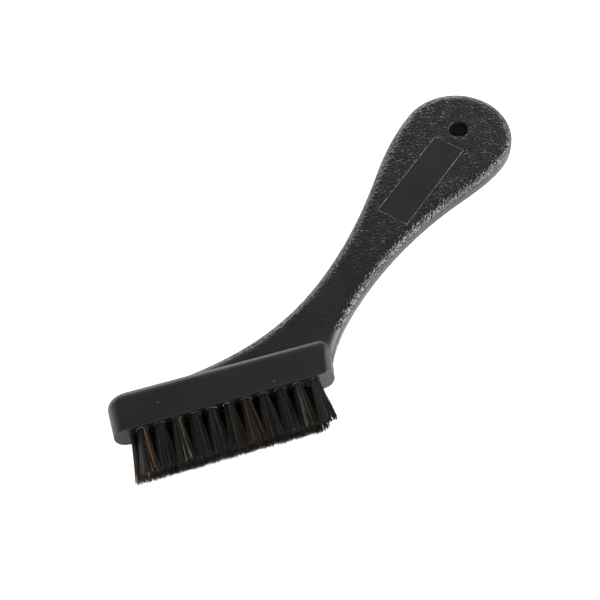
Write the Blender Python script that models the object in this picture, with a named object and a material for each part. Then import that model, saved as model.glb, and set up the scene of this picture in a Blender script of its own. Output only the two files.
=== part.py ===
"""Upholstery brush: one moulded body, two rows of hair tufts and the anchors that hold them.

Units are metres. +X runs along the head, +Y from the bristles towards the handle, and +Z is
the normal of the broad faces. The brush lies on the flat rear side of its head at z = 0, and
the origin is the middle of that flat side.
"""

import math
import random

import bmesh
import bpy
from mathutils import Matrix, Vector
from mathutils.geometry import interpolate_bezier

# Head: a bar with elliptical ends, bristles on its -Y face, handle on its +Y side.
# Its right end sweeps out along the heel, and its long upper edges round over to the handle
HEAD_LENGTH = 0.07935
HEAD_LEFT_REACH = 0.0395
HEAD_WIDTH = 0.0116
HEAD_HEIGHT_LEFT = 0.01525
HEAD_HEIGHT_RIGHT = 0.0137
HEAD_LEFT_END_RUN = 0.0045
HEAD_RIGHT_END_RUN = 0.0034
HEAD_RIGHT_END_SWEEP_RADIUS = 0.0180
HEAD_LEFT_CORNER_RADIUS = 0.0044
HEAD_RIGHT_CORNER_RADIUS = 0.0075
SIDE_EDGE_LEFT_RUN = 0.0043
SIDE_EDGE_RIGHT_RUN = 0.0029
SIDE_EDGE_DEPTH = 0.0020
FACE_EDGE_RADIUS = 0.0004
HEAD_END_SEGMENTS = 14
HEAD_CORNER_RINGS = 10
FACE_EDGE_RINGS = 2

# Handle: a flat paddle on the head's mid-plane, drawn along an axis through its hang hole
HANDLE_THICKNESS = 0.0076
CROWN_RUN = 0.0042
CROWN_DROP = 0.0024
HANDLE_ANGLE = math.radians(39.4)
HOLE_FROM_HEAD_X = 0.1169
HOLE_FROM_FACE_Y = 0.0879
HANG_HOLE_DIAMETER = 0.0076
END_RADIUS = 0.02166
END_CENTRE_SETBACK = 0.0026
END_CENTRE_DROP = 0.0005
UPPER_FLANK_SETBACK = 0.0340
UPPER_FLANK_OFFSET = 0.01622
UPPER_FLANK_TAPER = math.radians(16.5)
UPPER_WAIST_SETBACK = 0.0840
UPPER_WAIST_OFFSET = 0.00742
UPPER_WAIST_TAPER = math.radians(1.6)
LOWER_FLANK_SETBACK = 0.0340
LOWER_FLANK_OFFSET = 0.01478
LOWER_FLANK_TAPER = math.radians(15.0)
LOWER_WAIST_SETBACK = 0.0820
LOWER_WAIST_OFFSET = 0.00928
LOWER_WAIST_TAPER = math.radians(-2.7)

# Handle root: where the two sides of the paddle run into the head
SHOULDER_FROM_HEAD_X = -0.0100
SHOULDER_FROM_FACE_Y = 0.0159
SHOULDER_SLOPE = math.radians(7.0)
SHOULDER_RUN_IN = 0.0180
HEEL_INSET = 0.0001
HEEL_FROM_FACE_Y = 0.0024
HEEL_SLOPE = math.radians(75.6)
KNOT_PULL_SHARE = 0.333
HEEL_PULL_SHARE = 0.312
SHOULDER_PULL_SHARE = 0.370
OUTLINE_STEPS = 14
CROWN_STEPS = 5

# Tuft field: two staggered rows of blind holes in the bristle face
TUFTS_PER_ROW = 11
TUFT_LEFT_MARGIN = 0.00715
TUFT_RIGHT_MARGIN = 0.0075
ROW_SPACING = 0.0050
STAGGER_SHARE = 0.25
TUFT_HOLE_DIAMETER = 0.0038
TUFT_HOLE_DEPTH = 0.0090
HOLE_SEGMENTS = 16
PLUG_SEGMENTS = 10
FIT_CLEARANCE = 0.0003

# Anchor: a flat wire across the bottom of a hole, driven through the fold of its tuft
ANCHOR_LENGTH = 0.0046
ANCHOR_HEIGHT = 0.0018
ANCHOR_THICKNESS = 0.0004
TUFT_FOLD_THICKNESS = 0.0005

# Hair: strands of one tuft, which stand side by side in the hole and flare below the face
STRANDS_PER_TUFT = 15
STRAND_SIDES = 3
STRAND_ROOT_RADIUS = 0.00019
STRAND_TIP_RADIUS = 0.00009
STRAND_ROOT_SINK = 0.0006
TRIM_LENGTH = 0.0174
TRIM_RAGGEDNESS = 0.0011
FLARE_ALONG_ROW = 0.0011
FLARE_ACROSS_ROW = 0.0006
ROW_LEAN = 0.0005
END_TUFT_LEAN = 0.0012
FLARE_CURVE = 1.3
GOLDEN_ANGLE = math.pi * (3.0 - math.sqrt(5.0))
HAIR_SEED = 11

# Working values
CUT_OVERRUN = 0.0010
WELD_DISTANCE = 0.000001
HANG_HOLE_SEGMENTS = 40
SMOOTH_ANGLE = math.radians(32.0)

# Places worked out from the sizes above
FACE_Y = -0.5 * HEAD_HEIGHT_RIGHT
MID_Z = 0.5 * HEAD_WIDTH
HEAD_RIGHT_REACH = HEAD_LENGTH - HEAD_LEFT_REACH
TUFT_FIELD_LENGTH = HEAD_LENGTH - TUFT_LEFT_MARGIN - TUFT_RIGHT_MARGIN
TUFT_FIELD_X = 0.5 * (HEAD_RIGHT_REACH - TUFT_RIGHT_MARGIN - HEAD_LEFT_REACH + TUFT_LEFT_MARGIN)
TUFT_PITCH = TUFT_FIELD_LENGTH / (TUFTS_PER_ROW - 1 + 2.0 * STAGGER_SHARE)
ANCHOR_DEPTH = TUFT_HOLE_DEPTH - TUFT_FOLD_THICKNESS - 2.0 * FIT_CLEARANCE - 0.5 * ANCHOR_HEIGHT
PLUG_RADIUS = 0.5 * TUFT_HOLE_DIAMETER - FIT_CLEARANCE
ALONG_HANDLE = Vector((math.cos(HANDLE_ANGLE), math.sin(HANDLE_ANGLE), 0.0))
ACROSS_HANDLE = Vector((-math.sin(HANDLE_ANGLE), math.cos(HANDLE_ANGLE), 0.0))
HANG_HOLE = Vector((HOLE_FROM_HEAD_X, FACE_Y + HOLE_FROM_FACE_Y, MID_Z))


def clear_scene():
    """Remove every object, so that the file starts empty."""
    for old in list(bpy.data.objects):
        bpy.data.objects.remove(old, do_unlink=True)


def new_collection(name):
    """Return a collection of that name, linked to the scene."""
    collection = bpy.data.collections.new(name)
    bpy.context.scene.collection.children.link(collection)
    return collection


def new_material(name, colour, roughness, metallic):
    """Return a Principled material with one colour."""
    material = bpy.data.materials.new(name)
    material.use_nodes = True
    material.diffuse_color = (*colour, 1.0)
    shader = material.node_tree.nodes["Principled BSDF"]
    shader.inputs["Base Color"].default_value = (*colour, 1.0)
    shader.inputs["Roughness"].default_value = roughness
    shader.inputs["Metallic"].default_value = metallic
    return material


def object_from_bmesh(name, mesh_edit, collection):
    """Turn an edited mesh into an object with its faces pointing out."""
    bmesh.ops.remove_doubles(mesh_edit, verts=mesh_edit.verts, dist=WELD_DISTANCE)
    bmesh.ops.recalc_face_normals(mesh_edit, faces=mesh_edit.faces)
    mesh = bpy.data.meshes.new(name)
    mesh_edit.to_mesh(mesh)
    mesh_edit.free()
    result = bpy.data.objects.new(name, mesh)
    collection.objects.link(result)
    return result


def evaluated_mesh(source, name):
    """Return the mesh that an object's modifiers make."""
    graph = bpy.context.evaluated_depsgraph_get()
    mesh = bpy.data.meshes.new_from_object(source.evaluated_get(graph))
    mesh.name = name
    return mesh


def loft(name, mesh_edit, rings, collection):
    """Close a row of matching rings of vertices into one solid."""
    for lower, upper in zip(rings, rings[1:]):
        for index in range(len(lower)):
            mesh_edit.faces.new((lower[index - 1], lower[index], upper[index], upper[index - 1]))
    mesh_edit.faces.new(rings[0])
    mesh_edit.faces.new(rings[-1])
    return object_from_bmesh(name, mesh_edit, collection)


def apply_boolean(target, operation, tool):
    """Join or cut the target's mesh with a tool, then show the tool as a wire guide."""
    modifier = target.modifiers.new(operation.title(), "BOOLEAN")
    modifier.operation = operation
    modifier.solver = "EXACT"
    modifier.object = tool
    mesh = evaluated_mesh(target, target.name)
    target.modifiers.remove(modifier)
    target.data = mesh
    tool.hide_render = True
    tool.display_type = "WIRE"


def finish(piece, material):
    """Give a piece its material and smooth shading with crisp edges."""
    piece.data.materials.clear()
    piece.data.materials.append(material)
    piece.data.shade_smooth()
    piece.data.set_sharp_from_angle(angle=SMOOTH_ANGLE)


def on_handle(setback, offset):
    """Place on the mid-plane, so far from the hang hole towards the head and off the axis."""
    return HANG_HOLE - setback * ALONG_HANDLE + offset * ACROSS_HANDLE


def heading(angle):
    """Unit vector in the mid-plane at an angle from +X."""
    return Vector((math.cos(angle), math.sin(angle), 0.0))


def handle_knots():
    """Knots of the paddle's outline, anticlockwise from the heel.

    Each is a place, the direction of travel there, and the pull of the stretch after it as a
    share of that stretch's length.
    """
    heel = Vector((HEAD_RIGHT_REACH - HEEL_INSET, FACE_Y + HEEL_FROM_FACE_Y, MID_Z))
    shoulder = Vector((SHOULDER_FROM_HEAD_X, FACE_Y + SHOULDER_FROM_FACE_Y, MID_Z))
    outward = ALONG_HANDLE
    left = ACROSS_HANDLE
    quarter_turn_share = 4.0 / 3.0 * math.tan(math.pi / 8.0) / math.sqrt(2.0)
    return [
        (heel, heading(HEEL_SLOPE), HEEL_PULL_SHARE),
        (on_handle(LOWER_WAIST_SETBACK, -LOWER_WAIST_OFFSET),
         heading(HANDLE_ANGLE - LOWER_WAIST_TAPER), KNOT_PULL_SHARE),
        (on_handle(LOWER_FLANK_SETBACK, -LOWER_FLANK_OFFSET),
         heading(HANDLE_ANGLE - LOWER_FLANK_TAPER), KNOT_PULL_SHARE),
        (on_handle(END_CENTRE_SETBACK, -END_CENTRE_DROP - END_RADIUS), outward,
         quarter_turn_share),
        (on_handle(END_CENTRE_SETBACK - END_RADIUS, -END_CENTRE_DROP), left,
         quarter_turn_share),
        (on_handle(END_CENTRE_SETBACK, END_RADIUS - END_CENTRE_DROP), -outward,
         KNOT_PULL_SHARE),
        (on_handle(UPPER_FLANK_SETBACK, UPPER_FLANK_OFFSET),
         -heading(HANDLE_ANGLE + UPPER_FLANK_TAPER), KNOT_PULL_SHARE),
        (on_handle(UPPER_WAIST_SETBACK, UPPER_WAIST_OFFSET),
         -heading(HANDLE_ANGLE + UPPER_WAIST_TAPER), SHOULDER_PULL_SHARE),
        (shoulder, -heading(SHOULDER_SLOPE), 0.0),
    ]


def paddle_outline():
    """Points of the paddle's outline, anticlockwise from the heel and closed inside the head."""
    knots = handle_knots()
    points = []
    for (start, leaving, share), (end, arriving, _) in zip(knots, knots[1:]):
        pull = share * (end - start).length
        stretch = interpolate_bezier(
            start, start + pull * leaving, end - pull * arriving, end, OUTLINE_STEPS + 1)
        points.extend(stretch[:-1])
    heel = knots[0][0]
    shoulder = knots[-1][0]
    buried_shoulder = shoulder - SHOULDER_RUN_IN * heading(SHOULDER_SLOPE)
    buried_corner = Vector((buried_shoulder.x, heel.y, MID_Z))
    return points + [shoulder, buried_shoulder, buried_corner]


def outward_normals(outline):
    """Outward direction at each outline point; the heel and shoulder follow their free side."""
    heel = 0
    shoulder = len(outline) - 3
    normals = []
    for index, point in enumerate(outline):
        before = (point - outline[index - 1]).normalized()
        after = (outline[(index + 1) % len(outline)] - point).normalized()
        travel = (before + after).normalized()
        if index == heel:
            travel = after
        if index == shoulder:
            travel = before
        normals.append(Vector((travel.y, -travel.x, 0.0)))
    return normals


def crown_sections():
    """Inset and height off the mid-plane of each ring, from the front face to the rear face."""
    wall = 0.5 * HANDLE_THICKNESS - CROWN_DROP
    upper = []
    for step in range(CROWN_STEPS + 1):
        angle = 0.5 * math.pi * step / CROWN_STEPS
        upper.append((CROWN_RUN * (1.0 - math.sin(angle)), wall + CROWN_DROP * math.cos(angle)))
    return upper + [(inset, -height) for inset, height in reversed(upper)]


def handle_slab(collection):
    """Paddle handle: its outline lofted through an elliptical crown on both faces."""
    outline = paddle_outline()
    normals = outward_normals(outline)
    mesh_edit = bmesh.new()
    rings = []
    for inset, height in crown_sections():
        lift = Vector((0.0, 0.0, height))
        rings.append([
            mesh_edit.verts.new(point - inset * normal + lift)
            for point, normal in zip(outline, normals)
        ])
    return loft("handle_slab", mesh_edit, rings, collection)


def rounding_inset(run, depth, drop):
    """How far an elliptical rounding has come in, at a drop below the top that it reaches."""
    climbed = max(0.0, 1.0 - drop / run)
    return depth * (1.0 - math.sqrt(1.0 - climbed * climbed))


def head_top(x):
    """Height of the head above its bristle face at a place along it."""
    travelled = (HEAD_LEFT_REACH + x) / HEAD_LENGTH
    return HEAD_HEIGHT_LEFT + (HEAD_HEIGHT_RIGHT - HEAD_HEIGHT_LEFT) * travelled


def right_sweep(rise):
    """How far the right end has swept out, at a rise above the bristle face."""
    radius = HEAD_RIGHT_END_SWEEP_RADIUS
    return radius - math.sqrt(radius * radius - rise * rise)


def head_ring(mesh_edit, level_share, face_inset):
    """One closed section of the head, at a share of its height above the bristle face."""
    right_reach = HEAD_RIGHT_REACH + right_sweep(level_share * HEAD_HEIGHT_RIGHT)
    ring = []
    for sign, reach, height, end_run, corner_radius, edge_run in (
        (1.0, right_reach, HEAD_HEIGHT_RIGHT, HEAD_RIGHT_END_RUN, HEAD_RIGHT_CORNER_RADIUS,
         SIDE_EDGE_RIGHT_RUN),
        (-1.0, HEAD_LEFT_REACH, HEAD_HEIGHT_LEFT, HEAD_LEFT_END_RUN, HEAD_LEFT_CORNER_RADIUS,
         SIDE_EDGE_LEFT_RUN),
    ):
        drop = (1.0 - level_share) * height
        end_start = reach - end_run - rounding_inset(corner_radius, corner_radius, drop)
        side_inset = rounding_inset(edge_run, SIDE_EDGE_DEPTH, drop) + face_inset
        for step in range(HEAD_END_SEGMENTS + 1):
            angle = math.pi * (step / HEAD_END_SEGMENTS - 0.5)
            x = sign * (end_start + (end_run - face_inset) * math.cos(angle))
            z = sign * (0.5 * HEAD_WIDTH - side_inset) * math.sin(angle)
            y = FACE_Y + level_share * head_top(x)
            ring.append(mesh_edit.verts.new((x, y, MID_Z + z)))
    return ring


def head_block(collection):
    """Head bar: a loft of sections from the bristle face up to its rounded top."""
    sections = []
    for step in range(FACE_EDGE_RINGS + 1):
        angle = 0.5 * math.pi * step / FACE_EDGE_RINGS
        rise = FACE_EDGE_RADIUS * (1.0 - math.cos(angle))
        face_inset = FACE_EDGE_RADIUS * (1.0 - math.sin(angle))
        sections.append((rise / HEAD_HEIGHT_RIGHT, face_inset))
    for step in range(HEAD_CORNER_RINGS + 1):
        angle = 0.5 * math.pi * step / HEAD_CORNER_RINGS
        drop = HEAD_RIGHT_CORNER_RADIUS * (1.0 - math.sin(angle))
        sections.append((1.0 - drop / HEAD_HEIGHT_RIGHT, 0.0))
    mesh_edit = bmesh.new()
    rings = [head_ring(mesh_edit, share, face_inset) for share, face_inset in sections]
    return loft("head_block", mesh_edit, rings, collection)


def tuft_places():
    """Name ending, hole centre on the bristle face and row side of every tuft."""
    places = []
    for row, side in (("front", 1.0), ("rear", -1.0)):
        for index in range(TUFTS_PER_ROW):
            step = index - 0.5 * (TUFTS_PER_ROW - 1) + side * STAGGER_SHARE
            x = TUFT_FIELD_X + step * TUFT_PITCH
            centre = Vector((x, FACE_Y, MID_Z + 0.5 * side * ROW_SPACING))
            places.append((f"{row}_{index + 1:02d}", centre, side))
    return places


def along_y(place):
    """Matrix that stands a primitive's own Z axis along +Y at a place."""
    return Matrix.Translation(place) @ Matrix.Rotation(-0.5 * math.pi, 4, "X")


def add_cylinder(mesh_edit, place, radius, depth, segments):
    """Add a closed cylinder along Y, centred on a place."""
    bmesh.ops.create_cone(
        mesh_edit, cap_ends=True, segments=segments, radius1=radius, radius2=radius,
        depth=depth, matrix=along_y(place))


def add_box(mesh_edit, place, size):
    """Add a closed box of a size, centred on a place."""
    scale = Matrix.Diagonal((*size, 1.0))
    bmesh.ops.create_cube(mesh_edit, size=1.0, matrix=Matrix.Translation(place) @ scale)


def tuft_hole_cutter(collection):
    """Blind round holes for the tufts."""
    mesh_edit = bmesh.new()
    depth = TUFT_HOLE_DEPTH + CUT_OVERRUN
    for _, centre, _ in tuft_places():
        middle = centre + Vector((0.0, TUFT_HOLE_DEPTH - 0.5 * depth, 0.0))
        add_cylinder(mesh_edit, middle, 0.5 * TUFT_HOLE_DIAMETER, depth, HOLE_SEGMENTS)
    return object_from_bmesh("tuft_hole_cutter", mesh_edit, collection)


def anchor_space():
    """Size of the room that an anchor takes, with its clearance all round."""
    return (
        ANCHOR_LENGTH + 2.0 * FIT_CLEARANCE,
        ANCHOR_HEIGHT + 2.0 * FIT_CLEARANCE,
        ANCHOR_THICKNESS + 2.0 * FIT_CLEARANCE,
    )


def anchor_slot_cutter(collection):
    """Pockets in the walls of the holes, which the ends of the anchors bite into."""
    mesh_edit = bmesh.new()
    for _, centre, _ in tuft_places():
        add_box(mesh_edit, centre + Vector((0.0, ANCHOR_DEPTH, 0.0)), anchor_space())
    return object_from_bmesh("anchor_slot_cutter", mesh_edit, collection)


def hang_hole_cutter(collection):
    """Round hole through the end of the handle."""
    mesh_edit = bmesh.new()
    bmesh.ops.create_cone(
        mesh_edit, cap_ends=True, segments=HANG_HOLE_SEGMENTS,
        radius1=0.5 * HANG_HOLE_DIAMETER, radius2=0.5 * HANG_HOLE_DIAMETER,
        depth=HANDLE_THICKNESS + 2.0 * CUT_OVERRUN, matrix=Matrix.Translation(HANG_HOLE))
    return object_from_bmesh("hang_hole_cutter", mesh_edit, collection)


def build_body(parts, guides, material):
    """Moulded body: the paddle joined to the head bar, then drilled."""
    body = handle_slab(parts)
    body.name = "handle_body"
    apply_boolean(body, "UNION", head_block(guides))
    apply_boolean(body, "DIFFERENCE", tuft_hole_cutter(guides))
    apply_boolean(body, "DIFFERENCE", anchor_slot_cutter(guides))
    apply_boolean(body, "DIFFERENCE", hang_hole_cutter(guides))
    finish(body, material)


def strand_bundle(ending, centre, side, end_lean, collection):
    """Strands of one tuft: tapered needles side by side, bent outwards by one smooth flare."""
    source = random.Random(f"{HAIR_SEED}-{ending}")
    turn = source.uniform(0.0, 2.0 * math.pi)
    spread_radius = PLUG_RADIUS - STRAND_ROOT_RADIUS - FIT_CLEARANCE
    mesh_edit = bmesh.new()
    for index in range(STRANDS_PER_TUFT):
        reach = spread_radius * math.sqrt((index + 0.5) / STRANDS_PER_TUFT)
        angle = turn + index * GOLDEN_ANGLE
        length = TRIM_LENGTH - source.uniform(0.0, TRIM_RAGGEDNESS)
        depth = length + STRAND_ROOT_SINK
        place = Vector((
            reach * math.cos(angle), STRAND_ROOT_SINK - 0.5 * depth, reach * math.sin(angle)))
        bmesh.ops.create_cone(
            mesh_edit, cap_ends=True, segments=STRAND_SIDES, radius1=STRAND_TIP_RADIUS,
            radius2=STRAND_ROOT_RADIUS, depth=depth, matrix=along_y(place))
    long_edges = [edge for edge in mesh_edit.edges if edge.calc_length() > 0.5 * TRIM_LENGTH]
    bmesh.ops.subdivide_edges(mesh_edit, edges=long_edges, cuts=1)
    for vert in mesh_edit.verts:
        drop = max(0.0, -vert.co.y) / TRIM_LENGTH
        flare = drop ** FLARE_CURVE
        vert.co.x += flare * (vert.co.x / spread_radius * FLARE_ALONG_ROW + end_lean)
        vert.co.z += flare * (vert.co.z / spread_radius * FLARE_ACROSS_ROW + side * ROW_LEAN)
        vert.co += centre
    return object_from_bmesh(f"strands_{ending}", mesh_edit, collection)


def build_tuft(ending, centre, side, end_lean, parts, guides, material):
    """One tuft: the bundle packed in its hole, open across the fold, with its free strands."""
    depth = TUFT_HOLE_DEPTH - FIT_CLEARANCE
    plug_edit = bmesh.new()
    middle = centre + Vector((0.0, 0.5 * depth, 0.0))
    add_cylinder(plug_edit, middle, PLUG_RADIUS, depth, PLUG_SEGMENTS)
    tuft = object_from_bmesh(f"tuft_{ending}", plug_edit, parts)
    fold_edit = bmesh.new()
    add_box(fold_edit, centre + Vector((0.0, ANCHOR_DEPTH, 0.0)), anchor_space())
    apply_boolean(tuft, "DIFFERENCE", object_from_bmesh(f"fold_{ending}", fold_edit, guides))
    apply_boolean(tuft, "UNION", strand_bundle(ending, centre, side, end_lean, guides))
    finish(tuft, material)


def build_anchor(ending, centre, parts, material):
    """One anchor: a cut length of flat wire across its hole."""
    mesh_edit = bmesh.new()
    size = (ANCHOR_LENGTH, ANCHOR_HEIGHT, ANCHOR_THICKNESS)
    add_box(mesh_edit, centre + Vector((0.0, ANCHOR_DEPTH, 0.0)), size)
    finish(object_from_bmesh(f"anchor_{ending}", mesh_edit, parts), material)


def end_lean_of(centre):
    """How far the tips of the outermost tufts lean out past the ends of their rows."""
    last = (0.5 * (TUFTS_PER_ROW - 1) - STAGGER_SHARE) * TUFT_PITCH
    from_middle = centre.x - TUFT_FIELD_X
    if abs(from_middle) < last - 0.5 * STAGGER_SHARE * TUFT_PITCH:
        return 0.0
    return math.copysign(END_TUFT_LEAN, from_middle)


def main():
    """Build the brush."""
    clear_scene()
    parts = new_collection("upholstery_brush")
    guides = new_collection("upholstery_brush_guides")
    plastic = new_material("black_moulded_plastic", (0.022, 0.022, 0.021), 0.42, 0.0)
    hair = new_material("dark_hair", (0.012, 0.009, 0.007), 0.45, 0.0)
    brass = new_material("anchor_brass", (0.62, 0.45, 0.17), 0.35, 1.0)
    build_body(parts, guides, plastic)
    for ending, centre, side in tuft_places():
        build_tuft(ending, centre, side, end_lean_of(centre), parts, guides, hair)
        build_anchor(ending, centre, parts, brass)


main()
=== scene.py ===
"""Upholstery brush, dressed for its picture.

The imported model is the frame. Round it this file makes a finer moulded body with its leather
grain, the hair of every tuft, the brass of the anchors, and a pale studio.

Units are metres. +X runs along the head, +Y from the bristles towards the handle, and +Z is
the normal of the broad faces. The brush lies on the flat rear side of its head at z = 0.
"""

import math

import bmesh
import bpy
from bpy.props import FloatProperty, FloatVectorProperty, IntProperty, PointerProperty
from mathutils import Matrix, Vector, kdtree
from mathutils.geometry import delaunay_2d_cdt, interpolate_bezier


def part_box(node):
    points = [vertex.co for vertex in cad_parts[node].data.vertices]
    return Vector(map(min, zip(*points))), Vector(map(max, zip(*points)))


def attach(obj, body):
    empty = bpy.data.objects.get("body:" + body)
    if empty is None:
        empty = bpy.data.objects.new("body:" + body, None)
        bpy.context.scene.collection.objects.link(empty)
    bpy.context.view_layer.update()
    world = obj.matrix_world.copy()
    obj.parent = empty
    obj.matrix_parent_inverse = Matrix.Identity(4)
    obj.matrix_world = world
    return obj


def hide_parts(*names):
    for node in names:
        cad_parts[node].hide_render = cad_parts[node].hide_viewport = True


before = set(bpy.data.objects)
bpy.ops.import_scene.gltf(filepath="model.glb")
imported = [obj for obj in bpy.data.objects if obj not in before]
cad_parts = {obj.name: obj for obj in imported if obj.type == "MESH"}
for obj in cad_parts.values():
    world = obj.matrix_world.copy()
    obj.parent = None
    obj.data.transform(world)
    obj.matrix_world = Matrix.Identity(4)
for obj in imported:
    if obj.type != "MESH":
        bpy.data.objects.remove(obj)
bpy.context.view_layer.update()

bl_info = {
    "name": "Upholstery brush",
    "version": (1, 0, 0),
    "blender": (4, 5, 0),
    "location": "3D View > Sidebar > Brush",
    "description": "Moulded body, hair tufts, anchors and studio of an upholstery brush",
    "category": "Object",
}

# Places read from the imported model
BODY_LOW, BODY_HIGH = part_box("handle_body")
FACE_Y = BODY_LOW.y
MID_Z = 0.5 * (BODY_LOW.z + BODY_HIGH.z)
BODY = "root"
ROWS = ("front", "rear")
ROW_SIDES = {"front": 1.0, "rear": -1.0}
TUFTS_PER_ROW = sum(name.startswith("tuft_front_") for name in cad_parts)

# Handle outline, as in the solid: knots by their setback from the hang hole along the
# handle's axis, their offset from the axis, and how much the outline tapers there
HANDLE_ANGLE = math.radians(39.4)
HANG_HOLE = Vector((0.1169, FACE_Y + 0.0879))
END_RADIUS = 0.02166
END_CENTRE_SETBACK = 0.0026
END_CENTRE_DROP = 0.0005
UPPER_FLANK = (0.0340, 0.01622, math.radians(16.5))
UPPER_WAIST = (0.0840, 0.00742, math.radians(1.6))
LOWER_FLANK = (0.0340, 0.01478, math.radians(15.0))
LOWER_WAIST = (0.0820, 0.00928, math.radians(-2.7))
SHOULDER = Vector((-0.0100, FACE_Y + 0.0159))
SHOULDER_SLOPE = math.radians(7.0)
SHOULDER_RUN_IN = 0.0180
HEEL_INSET = 0.0001
HEEL_RISE = 0.0024
HEEL_SLOPE = math.radians(75.6)
KNOT_PULL_SHARE = 0.333
HEEL_PULL_SHARE = 0.312
SHOULDER_PULL_SHARE = 0.370
QUARTER_TURN_SHARE = 4.0 / 3.0 * math.tan(math.pi / 8.0) / math.sqrt(2.0)

# Fineness of the moulded body
OUTLINE_STEP = 0.0005
FACE_GRID_STEP = 0.00045
FACE_GRID_MARGIN_SHARE = 0.6
CROWN_RINGS = 12
WALL_RINGS = 3
HEAD_END_SEGMENTS = 30
HEAD_CORNER_RINGS = 18
FACE_EDGE_RINGS = 3
HOLE_SEGMENTS = 28
HANG_HOLE_SEGMENTS = 72
HANG_HOLE_EDGE_STEPS = 4
CUT_OVERRUN = 0.0010
WELD_DISTANCE = 0.000001
MERGE_TOLERANCE = 0.00000001
PLANE_TOLERANCE = 0.000002
SMOOTH_ANGLE = math.radians(32.0)

# Tuft holes and the clearance in them
TUFT_HOLE_DIAMETER = 0.0038
TUFT_HOLE_DEPTH = 0.0090
FIT_CLEARANCE = 0.0003
BUNDLE_CLEARANCE = 0.00012

# Leather grain: how much of it is real relief, how its pebbles wobble, how far a crease
# spreads into a pebble, and how much shallower the creases are in calm patches
GRAIN_RELIEF_SHARE = 0.20
GRAIN_WOBBLE_PACE_SHARE = 0.8
GRAIN_WOBBLE_SHARE = 0.6
GRAIN_CREASE_SHARE = 0.40
GRAIN_PATCH_PACE_SHARE = 0.3
GRAIN_PATCH_SHARES = (0.35, 0.65)
GRAIN_SHALLOW_SHARE = 0.75

# Where the grain lies: its start above the head, the drops below the flat face between which
# the crown turns flat, and how much calmer the flat face is near the head and further up
GRAIN_HEAD_GAP = 0.0004
GRAIN_HEAD_FULL = 0.0020
FLAT_EDGE_DROP = 0.00040
FLAT_FACE_DROP = 0.00002
CALM_START = 0.014
CALM_END = 0.034
CALM_SHARES = (0.66, 0.44)

# Gate marks on the head's front: tiny pits where the moulding was fed
GATE_MARKS = (Vector((-0.0215, 0.0000)), Vector((0.0188, -0.0045)))
GATE_MARK_RADIUS = 0.00042
GATE_MARK_DEPTH = 0.00012
GATE_MARK_FINENESS = 4
GATE_NUB_RADIUS = 0.00020
GATE_NUB_FINENESS = 3

# Label place: a bare smooth panel on the front of the handle, with a fine line round it
LABEL_SETBACK = 0.0284
LABEL_OFFSET = -0.0005
LABEL_LINE_SINK = 0.00003
LABEL_LINE_CORNER_STEPS = 4
LABEL_EDGE_FADE = 0.0003

# Torn flakes at the hole mouths: the least and the most that one strays, turns and stretches
FLAKE_STRAY_SHARES = ((-1.0, -1.2, -1.0), (1.0, 0.3, 1.0))
FLAKE_TURNS = ((0.0, 0.0, 0.0), (3.1, 3.1, 3.1))
FLAKE_STRETCH_SHARES = ((0.3, 0.3, 0.3), (1.5, 0.8, 0.8))

# Hair strands: their make, and how they pass the anchor inside the hole
STRAND_POINTS = 10
STRAND_POINTS_IN_HOLE = 3
STRAND_SIDES = 3
GOLDEN_ANGLE = math.pi * (3.0 - math.sqrt(5.0))
FOLD_HEIGHT = 0.0084
ANCHOR_LOW_HEIGHT = 0.0058
ANCHOR_ROOM = 0.00032
ROOT_STRAY_SHARE = 0.5
DRAWS_PER_SEED = 16.0

# Hair curves: the powers that bend how hairs flare, curl, vary in length, swing and darken
FLARE_CURVE = 1.08
CURL_CURVE = 1.8
SHORTER_CURVE = 0.6
SWING_CURVE = 1.5
DARK_TINT_CURVE = 2.6

# Warm hairs: they grow in locks, and each tuft has its own share and tint of them
DARK_TINT_SHARE = 0.5
LOCKS_PER_METRE = 900.0
LOCK_SHARES = (0.48, 0.60)
LOCK_WARMTH_SHARES = (0.10, 2.4)
WARM_SHARES = {
    "front": (0.20, 0.02, 0.010, 0.12, 0.02, 0.05, 0.14, 0.05, 0.02, 0.02, 0.03),
    "rear": (0.06, 0.02, 0.04, 0.05, 0.02, 0.06, 0.03, 0.02, 0.02, 0.02, 0.02),
}
WARM_TINT_SHARES = {
    "front": (0.86, 0.70, 0.97, 0.66, 0.60, 0.74, 0.70, 0.66, 0.97, 0.97, 0.66),
    "rear": (0.84, 0.60, 0.66, 0.72, 0.66, 0.74, 0.66, 0.60, 0.66, 0.66, 0.60),
}
WARM_TINT_SPREAD_SHARE = 0.05

# Hair colours by tint: near black up to half, then red-brown, orange and pale
HAIR_COLOURS = (
    (0.00, (0.0018, 0.0018, 0.0015)),
    (0.50, (0.0620, 0.0590, 0.0480)),
    (0.60, (0.0420, 0.0160, 0.0120)),
    (0.72, (0.1050, 0.0270, 0.0220)),
    (0.86, (0.5200, 0.1700, 0.0550)),
    (0.97, (0.3800, 0.3400, 0.2700)),
)
HAIR_ROUGHNESS = (0.28, 0.40)
# Painted shade at the roots: over this share of the length from the root the colour darkens,
# down to this share at the root
PAINTED_ROOT_SHADE_REACH = 0.10
PAINTED_ROOT_SHADE_SHARE = 0.70

# Surface wear: the widths of the clouds and specks of each finish, and how specks stand out
PLASTIC_WEAR = {"Cloud Size": 0.022, "Speck Size": 0.00035}
TORN_WEAR = {"Cloud Size": 0.002, "Speck Size": 0.0005}
BRASS_WEAR = {"Cloud Size": 0.003, "Speck Size": 0.00012}
SPECK_SHARES = (0.62, 0.74)
SPECK_ROUGHNESS_SHARE = 0.6

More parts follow.
